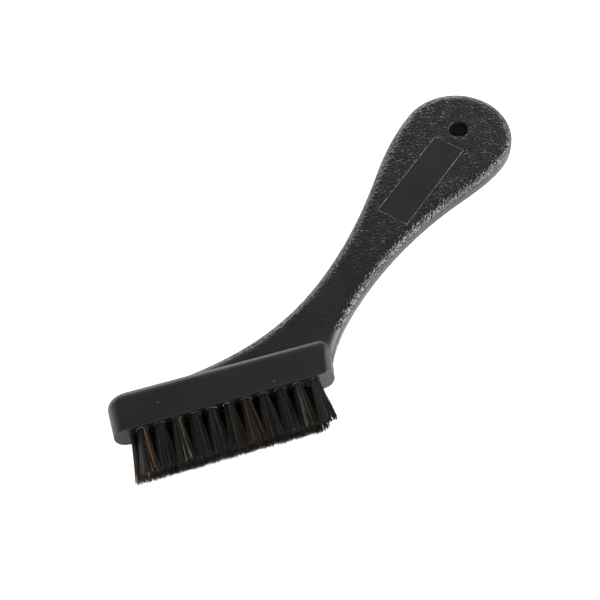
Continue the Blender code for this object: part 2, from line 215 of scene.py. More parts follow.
# Finishes: colours with their opacity, and roughness from one end of the wear to the other
PLASTIC_CLOUD_SHARES = (0.3, 0.7)
PLASTIC_ROUGHNESS_SPREAD = 0.04
PLASTIC_DUST_SHARE = 1.2
PLASTIC_FINE_BUMP = 0.15
PLASTIC_FINE_HEIGHT = 0.00002
TORN_CLOUD_SHARES = (0.35, 0.65)
# Pale torn plastic on burrs and nubs; on the label line the same paleness is a painted glint
TORN_AND_GLINT_COLOURS = ((0.05, 0.05, 0.05, 1.0), (0.34, 0.34, 0.32, 1.0))
TORN_ROUGHNESS = (0.5, 0.3)
BRASS_COLOURS = ((0.78, 0.57, 0.24, 1.0), (0.60, 0.42, 0.17, 1.0))
BRASS_ROUGHNESS = (0.28, 0.42)
BRASS_LINE_BUMP = 0.2
BRASS_LINE_HEIGHT = 0.00001
FLOOR_ROUGHNESS = 0.9

# Camera: the photograph's place, aim and lens
CAMERA_PLACE = Vector((-0.00075, -0.20033, 0.37695))
CAMERA_AIM = Vector((0.03689, 0.02775, 0.0058))
CAMERA_ROLL = math.radians(-7.718)
CAMERA_LENS_MM = 72.0
CAMERA_SENSOR_MM = 36.0

# Studio: softboxes by azimuth, elevation and size, where the backdrop dims, and the occlusion
# over which the floor's painted shadow sets in
SOFTBOX_DISTANCE = 1.3
SOFTBOXES = {
    "back": (math.radians(95.0), math.radians(13.0), (2.0, 0.30)),
    "side": (math.radians(-20.0), math.radians(28.0), (1.2, 1.20)),
}
BACKDROP_CLIMB_SHARES = (0.10, 0.82)
PAINTED_SHADOW_AO_SHARES = (0.15, 0.32)
FLOOR_COVER_SAMPLES = 16
WHITE = (1.0, 1.0, 1.0, 1.0)


class BrushBodySettings(bpy.types.PropertyGroup):
    """Sizes and finish of the moulded body."""

    left_reach: FloatProperty(
        name="Free End Reach", description="From the origin to the head's free end",
        default=-BODY_LOW.x, unit="LENGTH", precision=5)
    right_reach: FloatProperty(
        name="Handle End Reach", description="From the origin to the head's end at the handle",
        default=0.03985, unit="LENGTH", precision=5)
    head_width: FloatProperty(
        name="Head Width", description="Thickness of the head between its two broad sides",
        default=BODY_HIGH.z - BODY_LOW.z, unit="LENGTH", precision=5)
    head_height_left: FloatProperty(
        name="Head Height, Free End", description="Height of the head away from the handle",
        default=0.01525, unit="LENGTH", precision=5)
    head_height_right: FloatProperty(
        name="Head Height, Handle End", description="Height of the head at the handle",
        default=0.0137, unit="LENGTH", precision=5)
    left_end_run: FloatProperty(
        name="Free End Run", description="Length over which the free end rounds off",
        default=0.0045, unit="LENGTH", precision=5)
    right_end_run: FloatProperty(
        name="Handle End Run", description="Length over which the handle's end rounds off",
        default=0.0034, unit="LENGTH", precision=5)
    right_end_sweep: FloatProperty(
        name="Handle End Sweep", description="Radius of the sweep of the end along the heel",
        default=0.0180, unit="LENGTH", precision=5)
    left_corner_radius: FloatProperty(
        name="Free End Corner", description="Rounding of the upper corner at the free end",
        default=0.0044, unit="LENGTH", precision=5)
    right_corner_radius: FloatProperty(
        name="Handle End Corner", description="Rounding of the upper corner at the handle",
        default=0.0075, unit="LENGTH", precision=5)
    side_edge_left_run: FloatProperty(
        name="Side Edge Run, Free End", description="Height of the long edges' rounding",
        default=0.0043, unit="LENGTH", precision=5)
    side_edge_right_run: FloatProperty(
        name="Side Edge Run, Handle End", description="Height of the long edges' rounding",
        default=0.0029, unit="LENGTH", precision=5)
    side_edge_depth: FloatProperty(
        name="Side Edge Depth", description="How far the long upper edges round in",
        default=0.0020, unit="LENGTH", precision=5)
    face_edge_radius: FloatProperty(
        name="Face Edge Radius", description="Rounding round the bristle face",
        default=0.0004, unit="LENGTH", precision=5)
    handle_thickness: FloatProperty(
        name="Handle Thickness", description="Thickness of the paddle",
        default=0.0076, unit="LENGTH", precision=5)
    crown_run: FloatProperty(
        name="Crown Run", description="Width of the rounding along the paddle's rim",
        default=0.0042, unit="LENGTH", precision=5)
    crown_drop: FloatProperty(
        name="Crown Drop", description="How far the rounding falls from the face to the wall",
        default=0.0024, unit="LENGTH", precision=5)
    hang_hole_diameter: FloatProperty(
        name="Hang Hole Diameter", description="Width of the hole at the handle's end",
        default=0.0076, unit="LENGTH", precision=5)
    hang_hole_edge: FloatProperty(
        name="Hang Hole Edge", description="Rounding at the mouth of the hang hole",
        default=0.0003, unit="LENGTH", precision=5)
    grain_size: FloatProperty(
        name="Grain Size", description="Width of one pebble of the leather grain",
        default=0.00128, unit="LENGTH", precision=5)
    grain_depth: FloatProperty(
        name="Grain Depth", description="Depth of the creases between the pebbles",
        default=0.00021, unit="LENGTH", precision=6)
    grain_reach: FloatProperty(
        name="Grain Reach", description="How far down the crown the full grain goes",
        default=0.0021, unit="LENGTH", precision=5)
    grain_fade: FloatProperty(
        name="Grain Fade", description="Height over which the grain then fades out",
        default=0.0003, unit="LENGTH", precision=5)
    flakes_per_hole: IntProperty(
        name="Flakes per Hole", description="Torn flakes round each tuft hole",
        default=26, min=3)
    flake_size: FloatProperty(
        name="Flake Size", description="Radius of one flake of torn plastic",
        default=0.00019, unit="LENGTH", precision=6)
    flake_seed: IntProperty(
        name="Flake Seed", description="Picks the lie of the flakes", default=3)
    colour: FloatVectorProperty(
        name="Plastic Colour", description="Colour of the moulded plastic",
        default=(0.0074, 0.0082, 0.0069), subtype="COLOR", min=0.0, max=1.0)
    roughness: FloatProperty(
        name="Plastic Roughness", description="Roughness of the satin surfaces",
        default=0.33, min=0.0, max=1.0)
    grain_polish: FloatProperty(
        name="Grain Polish", description="How much less rough the grain's pebbles are",
        default=0.17, min=0.0, max=1.0)


class BrushLabelSettings(bpy.types.PropertyGroup):
    """Size of the bare label place."""

    length: FloatProperty(
        name="Label Length", description="Length of the smooth panel along the handle",
        default=0.0411, unit="LENGTH", precision=5)
    width: FloatProperty(
        name="Label Width", description="Width of the smooth panel",
        default=0.01275, unit="LENGTH", precision=5)
    corner_radius: FloatProperty(
        name="Corner Radius", description="Rounding of the panel's corners",
        default=0.0003, unit="LENGTH", precision=5)
    line_radius: FloatProperty(
        name="Outline Radius", description="Radius of the fine raised line round the panel",
        default=0.00006, unit="LENGTH", precision=6)


class BrushHairSettings(bpy.types.PropertyGroup):
    """Sizes, number and colours of the hairs."""

    hairs_per_tuft: IntProperty(
        name="Hairs per Tuft", description="Hairs that leave one hole", default=160, min=1)
    hair_diameter: FloatProperty(
        name="Hair Diameter", description="Thickness of one hair at its root",
        default=0.00024, unit="LENGTH", precision=6)
    tip_diameter: FloatProperty(
        name="Tip Diameter", description="Thickness of one hair at its cut end",
        default=0.00020, unit="LENGTH", precision=6)
    raggedness: FloatProperty(
        name="Raggedness", description="How much shorter than the trim a hair may be",
        default=0.0014, unit="LENGTH", precision=5)
    flare_along: FloatProperty(
        name="Flare Along Row", description="How far the tips spread along the row",
        default=0.0021, unit="LENGTH", precision=5)
    flare_across: FloatProperty(
        name="Flare Across Rows", description="How far the tips spread across the rows",
        default=0.0006, unit="LENGTH", precision=5)
    row_lean: FloatProperty(
        name="Row Lean", description="How far each row leans away from the other",
        default=0.0003, unit="LENGTH", precision=5)
    end_lean: FloatProperty(
        name="End Lean", description="How far the tufts at the row ends lean outwards",
        default=0.0002, unit="LENGTH", precision=5)
    curl: FloatProperty(
        name="Curl", description="How far a hair's tip strays from its place",
        default=0.0005, unit="LENGTH", precision=5)
    seed: IntProperty(
        name="Seed", description="Picks the lie of the hairs", default=7)


class BrushStudioSettings(bpy.types.PropertyGroup):
    """Floor, backdrop and lamps."""

    floor_size: FloatProperty(
        name="Floor Size", description="Width of the floor", default=6.0, unit="LENGTH")
    floor_colour: FloatVectorProperty(
        name="Floor Colour", description="Colour of the floor",
        default=(0.86, 0.86, 0.86), subtype="COLOR", min=0.0, max=1.0)
    # Painted shadow: the floor's colour close under the brush, where it is occluded
    painted_shadow_colour: FloatVectorProperty(
        name="Painted Shadow Colour", description="Colour of the floor close under the brush",
        default=(0.03, 0.03, 0.03), subtype="COLOR", min=0.0, max=1.0)
    floor_glow: FloatProperty(
        name="Floor Glow", description="Share of white that the floor shows by itself",
        default=0.90, min=0.0, max=1.0)
    mirrored_glow_share: FloatProperty(
        name="Mirrored Glow Share", description="Share of the floor's glow that reflections get",
        default=0.50, min=0.0, max=1.0)
    # Painted shadow: how far from the brush occlusion dims the floor's glow
    painted_shadow_reach: FloatProperty(
        name="Painted Shadow Reach", description="How far from the brush the floor's glow is dimmed",
        default=0.012, unit="LENGTH", precision=4)
    horizon_strength: FloatProperty(
        name="Horizon Strength", description="Light of the backdrop at the horizon",
        default=1.3, min=0.0)
    zenith_strength: FloatProperty(
        name="Zenith Strength", description="Light from straight above",
        default=0.20, min=0.0)
    back_power: FloatProperty(
        name="Back Power", description="Power of the low softbox behind the brush, in watts",
        default=7.5, min=0.0)
    side_power: FloatProperty(
        name="Side Power", description="Power of the softbox at the handle's side, in watts",
        default=38.0, min=0.0)


class NodeDesk:
    """Adds nodes to one tree, so that a formula can be written from the inside out."""

    def __init__(self, tree):
        self.tree = tree

    def add(self, kind, inputs=None, **settings):
        """Add a node, set its plain settings and feed its inputs by their names."""
        node = self.tree.nodes.new(kind)
        for name, value in settings.items():
            setattr(node, name, value)
        for name, value in (inputs or {}).items():
            self.feed(node.inputs[name], value)
        return node

    def feed(self, socket, value):
        """Give an input a value or the output of another node; None leaves it as it is."""
        if isinstance(value, bpy.types.NodeSocket):
            self.tree.links.new(value, socket)
        elif value is not None:
            socket.default_value = value

    def worked_out(self, kind, operation, values):
        """Outputs of a Math or Vector Math node over its values in order."""
        node = self.add(kind, operation=operation)
        for socket, value in zip(node.inputs, values):
            self.feed(socket, value)
        return node.outputs

    def maths(self, operation, *values):
        """Number that a Math node works out."""
        return self.worked_out("ShaderNodeMath", operation, values)["Value"]

    def vector(self, operation, *values):
        """Vector that a Vector Math node works out."""
        return self.worked_out("ShaderNodeVectorMath", operation, values)["Vector"]

    def scaled(self, vector, factor):
        """A vector times a number."""
        inputs = {"Vector": vector, "Scale": factor}
        return self.add("ShaderNodeVectorMath", inputs, operation="SCALE").outputs["Vector"]

    def dot(self, first, second):
        """Dot product of two vectors."""
        return self.worked_out("ShaderNodeVectorMath", "DOT_PRODUCT", (first, second))["Value"]

    def ramp(self, value, low, high, start=0.0, end=1.0, smooth=True):
        """A value mapped from low..high to start..end, clamped."""
        inputs = {
            "Value": value, "From Min": low, "From Max": high, "To Min": start, "To Max": end,
        }
        kind = "SMOOTHSTEP" if smooth else "LINEAR"
        node = self.add("ShaderNodeMapRange", inputs, interpolation_type=kind, clamp=True)
        return node.outputs["Result"]

    def split(self, vector):
        """The three parts of a vector."""
        parts = self.add("ShaderNodeSeparateXYZ", {"Vector": vector}).outputs
        return parts["X"], parts["Y"], parts["Z"]

    def joined(self, x, y, z):
        """A vector from its three parts."""
        return self.add("ShaderNodeCombineXYZ", {"X": x, "Y": y, "Z": z}).outputs["Vector"]

    def noise(self, vector, scale, detail, roughness=0.5):
        """Outputs of a Noise Texture node over a place."""
        inputs = {"Vector": vector, "Scale": scale, "Detail": detail, "Roughness": roughness}
        return self.add("ShaderNodeTexNoise", inputs).outputs

    def mixed(self, factor, first, second, blend_type="MIX"):
        """A colour between two colours, or their product in the MULTIPLY type."""
        inputs = {"Factor": factor, "A": first, "B": second}
        node = self.add("ShaderNodeMix", inputs, data_type="RGBA", blend_type=blend_type)
        return node.outputs["Result"]

    def bump(self, height, strength, distance, normal=None):
        """Normal of a Bump node, laid over another normal where one is given."""
        inputs = {
            "Height": height, "Strength": strength, "Distance": distance, "Normal": normal,
        }
        return self.add("ShaderNodeBump", inputs).outputs["Normal"]

    def object_place(self):
        """Object coordinates of a material."""
        return self.add("ShaderNodeTexCoord").outputs["Object"]

    def attribute(self, name):
        """Value kept on the mesh under a name, read in a material."""
        return self.add("ShaderNodeAttribute", attribute_name=name).outputs["Fac"]

    def recall(self, name, kind):
        """Value kept on the geometry under a name, read in geometry nodes."""
        node = self.add("GeometryNodeInputNamedAttribute", {"Name": name}, data_type=kind)
        return node.outputs["Attribute"]

    def store(self, geometry, name, kind, value):
        """The geometry with a value kept on each of its points under a name."""
        inputs = {"Geometry": geometry, "Name": name, "Value": value}
        node = self.add("GeometryNodeStoreNamedAttribute", inputs, data_type=kind)
        return node.outputs["Geometry"]

    def copies(self, points, shape, turn=None, stretch=None):
        """A copy of a shape on every point, as instances."""
        inputs = {"Points": points, "Instance": shape, "Rotation": turn, "Scale": stretch}
        return self.add("GeometryNodeInstanceOnPoints", inputs).outputs["Instances"]

    def real(self, geometry):
        """The geometry with its instances made real."""
        node = self.add("GeometryNodeRealizeInstances", {"Geometry": geometry})
        return node.outputs["Geometry"]

    def moved(self, geometry, **inputs):
        """The geometry put at a Position, or moved by an Offset."""
        inputs = {"Geometry": geometry, **inputs}
        return self.add("GeometryNodeSetPosition", inputs).outputs["Geometry"]

    def painted(self, geometry, material):
        """The geometry with its instances made real and a material on it."""
        inputs = {"Geometry": self.real(geometry), "Material": material}
        return self.add("GeometryNodeSetMaterial", inputs).outputs["Geometry"]


def new_group(name, kind, inputs, outputs):
    """A node group with its desk, its inputs and its outputs, whose kinds follow their defaults.

    A default of None makes a geometry socket.
    """
    socket_types = {int: "NodeSocketInt", float: "NodeSocketFloat", Vector: "NodeSocketVector"}
    tree = bpy.data.node_groups.new(name, kind)
    for direction, sockets in (("INPUT", inputs), ("OUTPUT", outputs)):
        for label, default in sockets.items():
            socket_type = socket_types.get(type(default), "NodeSocketGeometry")
            socket = tree.interface.new_socket(
                name=label, in_out=direction, socket_type=socket_type)
            if default is not None:
                socket.default_value = default
    desk = NodeDesk(tree)
    return tree, desk, desk.add("NodeGroupInput").outputs, desk.add("NodeGroupOutput").inputs


def new_shaping(name, defaults):
    """A geometry node group that takes a geometry and named values, and gives a geometry."""
    geometry = {"Geometry": None}
    return new_group(name, "GeometryNodeTree", {**geometry, **defaults}, geometry)


def arrange(tree):
    """Lay the nodes out in columns, from the output back to the inputs."""
    column_width = 200.0
    row_height = 180.0
    depth = {node: 0 for node in tree.nodes}
    for _ in range(len(tree.nodes)):
        changed = False
        for link in tree.links:
            if depth[link.from_node] < depth[link.to_node] + 1:
                depth[link.from_node] = depth[link.to_node] + 1
                changed = True
        if not changed:
            break
    filled = {}
    for node in tree.nodes:
        row = filled.get(depth[node], 0)
        node.location = (-column_width * depth[node], -row_height * row)
        filled[depth[node]] = row + 1


def new_object(name, data):
    """Object at the origin, linked to the scene."""
    result = bpy.data.objects.new(name, data)
    bpy.context.scene.collection.objects.link(result)
    return result


def object_from_bmesh(name, mesh_edit):
    """Turn an edited mesh into an object with its faces pointing out."""
    bmesh.ops.remove_doubles(mesh_edit, verts=mesh_edit.verts, dist=WELD_DISTANCE)
    bmesh.ops.recalc_face_normals(mesh_edit, faces=mesh_edit.faces)
    mesh = bpy.data.meshes.new(name)
    mesh_edit.to_mesh(mesh)
    mesh_edit.free()
    return new_object(name, mesh)


def object_from_rings(name, mesh_edit, rings):
    """Skin over closed rings of vertices in their order, with a flat face over each end."""
    for ring, after in zip(rings, rings[1:]):
        for index in range(len(ring)):
            mesh_edit.faces.new((ring[index - 1], ring[index], after[index], after[index - 1]))
    mesh_edit.faces.new(rings[0])
    mesh_edit.faces.new(rings[-1])
    return object_from_bmesh(name, mesh_edit)


def bake_modifiers(piece):
    """Turn what an object's modifiers make into its plain mesh."""
    graph = bpy.context.evaluated_depsgraph_get()
    mesh = bpy.data.meshes.new_from_object(
        piece.evaluated_get(graph), preserve_all_data_layers=True, depsgraph=graph)
    mesh.name = piece.name
    piece.modifiers.clear()
    piece.data = mesh


def cut_or_join(target, operation, tool):
    """Join or cut a piece with a tool, and throw the tool away."""
    modifier = target.modifiers.new(operation.title(), "BOOLEAN")
    modifier.operation = operation
    modifier.solver = "EXACT"
    modifier.object = tool
    bake_modifiers(target)
    bpy.data.objects.remove(tool, do_unlink=True)


def add_shaping(piece, label, tree, values):
    """Give a piece a geometry node modifier, and set its inputs by their identifiers."""
    modifier = piece.modifiers.new(label, "NODES")
    modifier.node_group = tree
    for item in tree.interface.items_tree:
        if item.item_type == "SOCKET" and item.in_out == "INPUT" and item.name in values:
            modifier[item.identifier] = values[item.name]


def heading(angle):
    """Unit vector in the plane of the handle at an angle from +X."""
    return Vector((math.cos(angle), math.sin(angle)))


def on_handle(setback, offset):
    """Place in plan, set back from the hang hole towards the head and off the axis."""
    along = heading(HANDLE_ANGLE)
    across = Vector((-along.y, along.x))
    return HANG_HOLE - setback * along + offset * across


def flank_knot(knot, side, pull):
    """Knot on the lower flank, side -1, or on the upper flank, side 1, of the handle."""
    setback, offset, taper = knot
    direction = -side * heading(HANDLE_ANGLE + side * taper)
    return on_handle(setback, side * offset), direction, pull


def handle_knots(body):
    """Knots of the paddle's outline, anticlockwise from the heel: place, direction and pull."""
    heel = Vector((body.right_reach - HEEL_INSET, FACE_Y + HEEL_RISE))
    along = heading(HANDLE_ANGLE)
    across = Vector((-along.y, along.x))
    end_low = on_handle(END_CENTRE_SETBACK, -END_CENTRE_DROP - END_RADIUS)
    end_far = on_handle(END_CENTRE_SETBACK - END_RADIUS, -END_CENTRE_DROP)
    end_high = on_handle(END_CENTRE_SETBACK, END_RADIUS - END_CENTRE_DROP)
    return [
        (heel, heading(HEEL_SLOPE), HEEL_PULL_SHARE),
        flank_knot(LOWER_WAIST, -1.0, KNOT_PULL_SHARE),
        flank_knot(LOWER_FLANK, -1.0, KNOT_PULL_SHARE),
        (end_low, along, QUARTER_TURN_SHARE),
        (end_far, across, QUARTER_TURN_SHARE),
        (end_high, -along, KNOT_PULL_SHARE),
        flank_knot(UPPER_FLANK, 1.0, KNOT_PULL_SHARE),
        flank_knot(UPPER_WAIST, 1.0, SHOULDER_PULL_SHARE),
        (SHOULDER, -heading(SHOULDER_SLOPE), 0.0),
    ]


def paddle_outline(body):
    """Fine points of the paddle's outline in plan, with its root corners buried in the head."""
    knots = handle_knots(body)
    points = []
    for (start, leaving, share), (end, arriving, _) in zip(knots, knots[1:]):
        span = (end - start).length
        steps = max(2, round(span / OUTLINE_STEP))
        curve = interpolate_bezier(
            start, start + leaving * span * share, end - arriving * span * share, end, steps + 1)
        points.extend(curve[:-1])
    points.append(knots[-1][0])
    buried_shoulder = SHOULDER - SHOULDER_RUN_IN * heading(SHOULDER_SLOPE)
    buried_corner = Vector((buried_shoulder.x, knots[0][0].y))
    return [Vector(point) for point in points] + [buried_shoulder, buried_corner]


def outward_normals(outline):
    """Outward normal at each point of the outline.

    The heel and the shoulder follow their free side, because the other side is in the head.
    """
    heel = 0
    buried_points = 2
    shoulder = len(outline) - 1 - buried_points
    normals = []
    for index, point in enumerate(outline):
        before = (point - outline[index - 1]).normalized()
        after = (outline[(index + 1) % len(outline)] - point).normalized()
        travel = (before + after).normalized()
        if index == heel:
            travel = after
        if index == shoulder:
            travel = before
        normals.append(Vector((travel.y, -travel.x)))
    return normals


def rim_sections(body):
    """Inset and height of each ring round the paddle, from its front face to its rear face."""
    straight = 0.5 * body.handle_thickness - body.crown_drop
    upper = []
    for step in range(CROWN_RINGS + 1):
        angle = 0.5 * math.pi * step / CROWN_RINGS
        inset = body.crown_run * (1.0 - math.sin(angle))
        upper.append((inset, straight + body.crown_drop * math.cos(angle)))
    wall = []
    for step in range(1, WALL_RINGS):
        wall.append((0.0, straight * (1.0 - 2.0 * step / WALL_RINGS)))
    lower = [(inset, -height) for inset, height in reversed(upper)]
    return upper + wall + lower


def paddle(body):
    """Paddle handle: the outline with an elliptical crown, closed by two flat faces."""
    outline = paddle_outline(body)
    normals = outward_normals(outline)
    mesh_edit = bmesh.new()
    rings = []
    for inset, height in rim_sections(body):
        ring = []
        for point, normal in zip(outline, normals):
            place = point - inset * normal
            ring.append(mesh_edit.verts.new((place.x, place.y, MID_Z + height)))
        rings.append(ring)
    return object_from_rings("moulded_body", mesh_edit, rings)


def rounding_inset(run, depth, drop):
    """How far an elliptical rounding has come in, at a drop below the top that it reaches."""
    climbed = max(0.0, 1.0 - drop / run)
    return depth * (1.0 - math.sqrt(1.0 - climbed * climbed))


def head_ring(mesh_edit, body, level_share, face_inset):
    """One closed section of the head, at a share of its height above the bristle face."""
    sweep = body.right_end_sweep
    rise = level_share * body.head_height_right
    right_reach = body.right_reach + sweep - math.sqrt(sweep * sweep - rise * rise)
    head_length = body.left_reach + body.right_reach
    slope = (body.head_height_right - body.head_height_left) / head_length
    ring = []
    for sign, reach, height, end_run, corner_radius, edge_run in (
        (1.0, right_reach, body.head_height_right, body.right_end_run,
         body.right_corner_radius, body.side_edge_right_run),
        (-1.0, body.left_reach, body.head_height_left, body.left_end_run,
         body.left_corner_radius, body.side_edge_left_run),
    ):
        drop = (1.0 - level_share) * height
        end_start = reach - end_run - rounding_inset(corner_radius, corner_radius, drop)
        side_inset = rounding_inset(edge_run, body.side_edge_depth, drop) + face_inset
        for step in range(HEAD_END_SEGMENTS + 1):
            angle = math.pi * (step / HEAD_END_SEGMENTS - 0.5)
            x = sign * (end_start + (end_run - face_inset) * math.cos(angle))
            z = sign * (0.5 * body.head_width - side_inset) * math.sin(angle)
            top = body.head_height_left + slope * (body.left_reach + x)
            ring.append(mesh_edit.verts.new((x, FACE_Y + level_share * top, MID_Z + z)))
    return ring


def head_block(body):
    """Head bar: a loft of sections from the bristle face up to its rounded top."""
    mesh_edit = bmesh.new()
    height = body.head_height_right
    sections = []
    for step in range(FACE_EDGE_RINGS + 1):
        angle = 0.5 * math.pi * step / FACE_EDGE_RINGS
        rise = body.face_edge_radius * (1.0 - math.cos(angle))
        sections.append((rise / height, body.face_edge_radius * (1.0 - math.sin(angle))))
    for step in range(HEAD_CORNER_RINGS + 1):
        angle = 0.5 * math.pi * step / HEAD_CORNER_RINGS
        drop = body.right_corner_radius * (1.0 - math.sin(angle))
        sections.append((1.0 - drop / height, 0.0))
    rings = [head_ring(mesh_edit, body, share, inset) for share, inset in sections]
    return object_from_rings("head_block", mesh_edit, rings)


def numbered(kind, row, number):
    """Name of one of the pieces that each tuft has."""
    return f"{kind}_{row}_{number:02d}"


def tuft_centre(row, number):
    """Centre of a tuft's hole on the bristle face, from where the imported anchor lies."""
    low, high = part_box(numbered("anchor", row, number))
    middle = 0.5 * (low + high)
    return Vector((middle.x, FACE_Y, middle.z))


def tuft_numbers():
    """Row and number of every tuft."""
    return [(row, number) for row in ROWS for number in range(1, TUFTS_PER_ROW + 1)]


def tuft_hole_tool():
    """Tool for the blind round holes of the tufts."""
    mesh_edit = bmesh.new()
    depth = TUFT_HOLE_DEPTH + CUT_OVERRUN
    stand = Matrix.Rotation(-0.5 * math.pi, 4, "X")
    for row, number in tuft_numbers():
        middle = tuft_centre(row, number) + Vector((0.0, TUFT_HOLE_DEPTH - 0.5 * depth, 0.0))
        bmesh.ops.create_cone(
            mesh_edit, cap_ends=True, segments=HOLE_SEGMENTS, radius1=0.5 * TUFT_HOLE_DIAMETER,
            radius2=0.5 * TUFT_HOLE_DIAMETER, depth=depth,
            matrix=Matrix.Translation(middle) @ stand)
    return object_from_bmesh("tuft_hole_tool", mesh_edit)


def anchor_pocket_tool():
    """Tool for the pockets in the walls of the holes, with clearance round each anchor."""
    mesh_edit = bmesh.new()
    room = Vector((FIT_CLEARANCE, FIT_CLEARANCE, FIT_CLEARANCE))
    for row, number in tuft_numbers():
        low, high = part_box(numbered("anchor", row, number))
        size = high - low + 2.0 * room
        place = Matrix.Translation(0.5 * (low + high))
        bmesh.ops.create_cube(mesh_edit, size=1.0, matrix=place @ Matrix.Diagonal((*size, 1.0)))
    return object_from_bmesh("anchor_pocket_tool", mesh_edit)


def hang_hole_tool(body):
    """Tool for the hang hole, flared at both ends to round the mouths of the hole."""
    half = 0.5 * body.handle_thickness
    edge = body.hang_hole_edge
    radius = 0.5 * body.hang_hole_diameter
    upper = []
    for step in range(HANG_HOLE_EDGE_STEPS + 1):
        angle = 0.5 * math.pi * step / HANG_HOLE_EDGE_STEPS
        width = radius + edge * (1.0 - math.cos(angle))
        upper.append((width, half - edge + edge * math.sin(angle)))
    upper.append((radius + edge, half + CUT_OVERRUN))
    lower = [(width, -height) for width, height in reversed(upper)]
    mesh_edit = bmesh.new()
    rings = []
    for width, height in lower + upper:
        ring = []
        for step in range(HANG_HOLE_SEGMENTS):
            spot = HANG_HOLE + width * heading(2.0 * math.pi * step / HANG_HOLE_SEGMENTS)
            ring.append(mesh_edit.verts.new((spot.x, spot.y, MID_Z + height)))
        rings.append(ring)
    return object_from_rings("hang_hole_tool", mesh_edit, rings)


def gate_mark_tool(body):
    """Tool for the two shallow round pits on the head's front."""
    mesh_edit = bmesh.new()
    ball_radius = (GATE_MARK_RADIUS ** 2 + GATE_MARK_DEPTH ** 2) / (2.0 * GATE_MARK_DEPTH)
    front = MID_Z + 0.5 * body.head_width
    for mark in GATE_MARKS:
        centre = Vector((mark.x, mark.y, front + ball_radius - GATE_MARK_DEPTH))
        bmesh.ops.create_icosphere(
            mesh_edit, subdivisions=GATE_MARK_FINENESS, radius=ball_radius,
            matrix=Matrix.Translation(centre))
    return object_from_bmesh("gate_mark_tool", mesh_edit)


def flat_region(mesh_edit, level):
    """Faces that lie at a level, and the edges round them."""
    flat = [
        face for face in mesh_edit.faces
        if all(abs(vert.co.z - level) < PLANE_TOLERANCE for vert in face.verts)
    ]
    inside = set(flat)
    border = [
        edge for face in flat for edge in face.edges
        if sum(linked in inside for linked in edge.link_faces) == 1
    ]
    return flat, border


def grid_inside(rim):
    """Even triangular grid of places over the extent of a rim, clear of the rim itself."""
    tree = kdtree.KDTree(len(rim))
    for index, place in enumerate(rim):
        tree.insert((place.x, place.y, 0.0), index)
    tree.balance()
    low = Vector((min(place.x for place in rim), min(place.y for place in rim)))
    high = Vector((max(place.x for place in rim), max(place.y for place in rim)))
    row_step = FACE_GRID_STEP * math.sin(math.pi / 3.0)
    clear = FACE_GRID_MARGIN_SHARE * FACE_GRID_STEP
    grid = []
    for row in range(int((high.y - low.y) / row_step) + 1):
        shift = 0.5 * FACE_GRID_STEP * (row % 2)
        for column in range(int((high.x - low.x) / FACE_GRID_STEP) + 1):
            spot = Vector((low.x + shift + column * FACE_GRID_STEP, low.y + row * row_step))
            _, _, distance = tree.find((spot.x, spot.y, 0.0))
            if distance > clear:
                grid.append(spot)
    return grid


def fill_with_grid(mesh_edit, level, facing, mouth_radius):
    """Give the handle's flat face at a level an even grid of triangles for its grain."""
    _, border = flat_region(mesh_edit, level)
    for edge in border:
        cuts = int(edge.calc_length() / FACE_GRID_STEP)
        if cuts:
            bmesh.ops.subdivide_edges(mesh_edit, edges=[edge], cuts=cuts)
    flat, border = flat_region(mesh_edit, level)
    rim = list(dict.fromkeys(vert for edge in border for vert in edge.verts))
    index_of = {vert: index for index, vert in enumerate(rim)}
    constraints = [tuple(index_of[vert] for vert in edge.verts) for edge in border]
    places = [vert.co.xy for vert in rim]
    inside_constraints = 1
    spots, _, triangles, origins, _, _ = delaunay_2d_cdt(
        places + grid_inside(places), constraints, [], inside_constraints, MERGE_TOLERANCE)
    bmesh.ops.delete(mesh_edit, geom=flat, context="FACES_ONLY")
    loose = [edge for edge in mesh_edit.edges if not edge.link_faces]
    bmesh.ops.delete(mesh_edit, geom=loose, context="EDGES")
    verts = {}
    for triangle in triangles:
        centre = sum((spots[index] for index in triangle), Vector((0.0, 0.0))) / len(triangle)
        if (centre - HANG_HOLE).length < mouth_radius:
            continue
        for index in triangle:
            if index not in verts:
                origin = next((item for item in origins[index] if item < len(rim)), None)
                if origin is None:
                    verts[index] = mesh_edit.verts.new((*spots[index], level))
                else:
                    verts[index] = rim[origin]
        face = mesh_edit.faces.new([verts[index] for index in triangle])
        face.normal_update()
        if face.normal.z * facing < 0.0:
            face.normal_flip()


def label_frame_vectors():
    """Middle of the label place and its two directions, as 3-D vectors."""
    along = heading(HANDLE_ANGLE)
    middle = on_handle(LABEL_SETBACK, LABEL_OFFSET)
    return (
        Vector((middle.x, middle.y, 0.0)),
        Vector((along.x, along.y, 0.0)),
        Vector((-along.y, along.x, 0.0)),
    )


def grain_height(desk, place, size):
    """Height of the leather grain at a place, from 0 in the creases to 1 on the pebbles."""
    pace = desk.maths("DIVIDE", 1.0, size)
    wobble = desk.noise(place, desk.maths("MULTIPLY", pace, GRAIN_WOBBLE_PACE_SHARE), 1.0)
    shift = desk.vector("SUBTRACT", wobble["Color"], (0.5, 0.5, 0.5))
    reach = desk.maths("MULTIPLY", size, GRAIN_WOBBLE_SHARE)
    bent = desk.vector("ADD", place, desk.scaled(shift, reach))
    cells = desk.add(
        "ShaderNodeTexVoronoi", {"Vector": bent, "Scale": pace}, feature="DISTANCE_TO_EDGE")
    crease = desk.ramp(cells.outputs["Distance"], 0.0, GRAIN_CREASE_SHARE, 1.0, 0.0)
    patches = desk.noise(place, desk.maths("MULTIPLY", pace, GRAIN_PATCH_PACE_SHARE), 1.0)
    depth = desk.ramp(patches["Fac"], *GRAIN_PATCH_SHARES, GRAIN_SHALLOW_SHARE, 1.0)
    return desk.maths("SUBTRACT", 1.0, desk.maths("MULTIPLY", crease, depth))


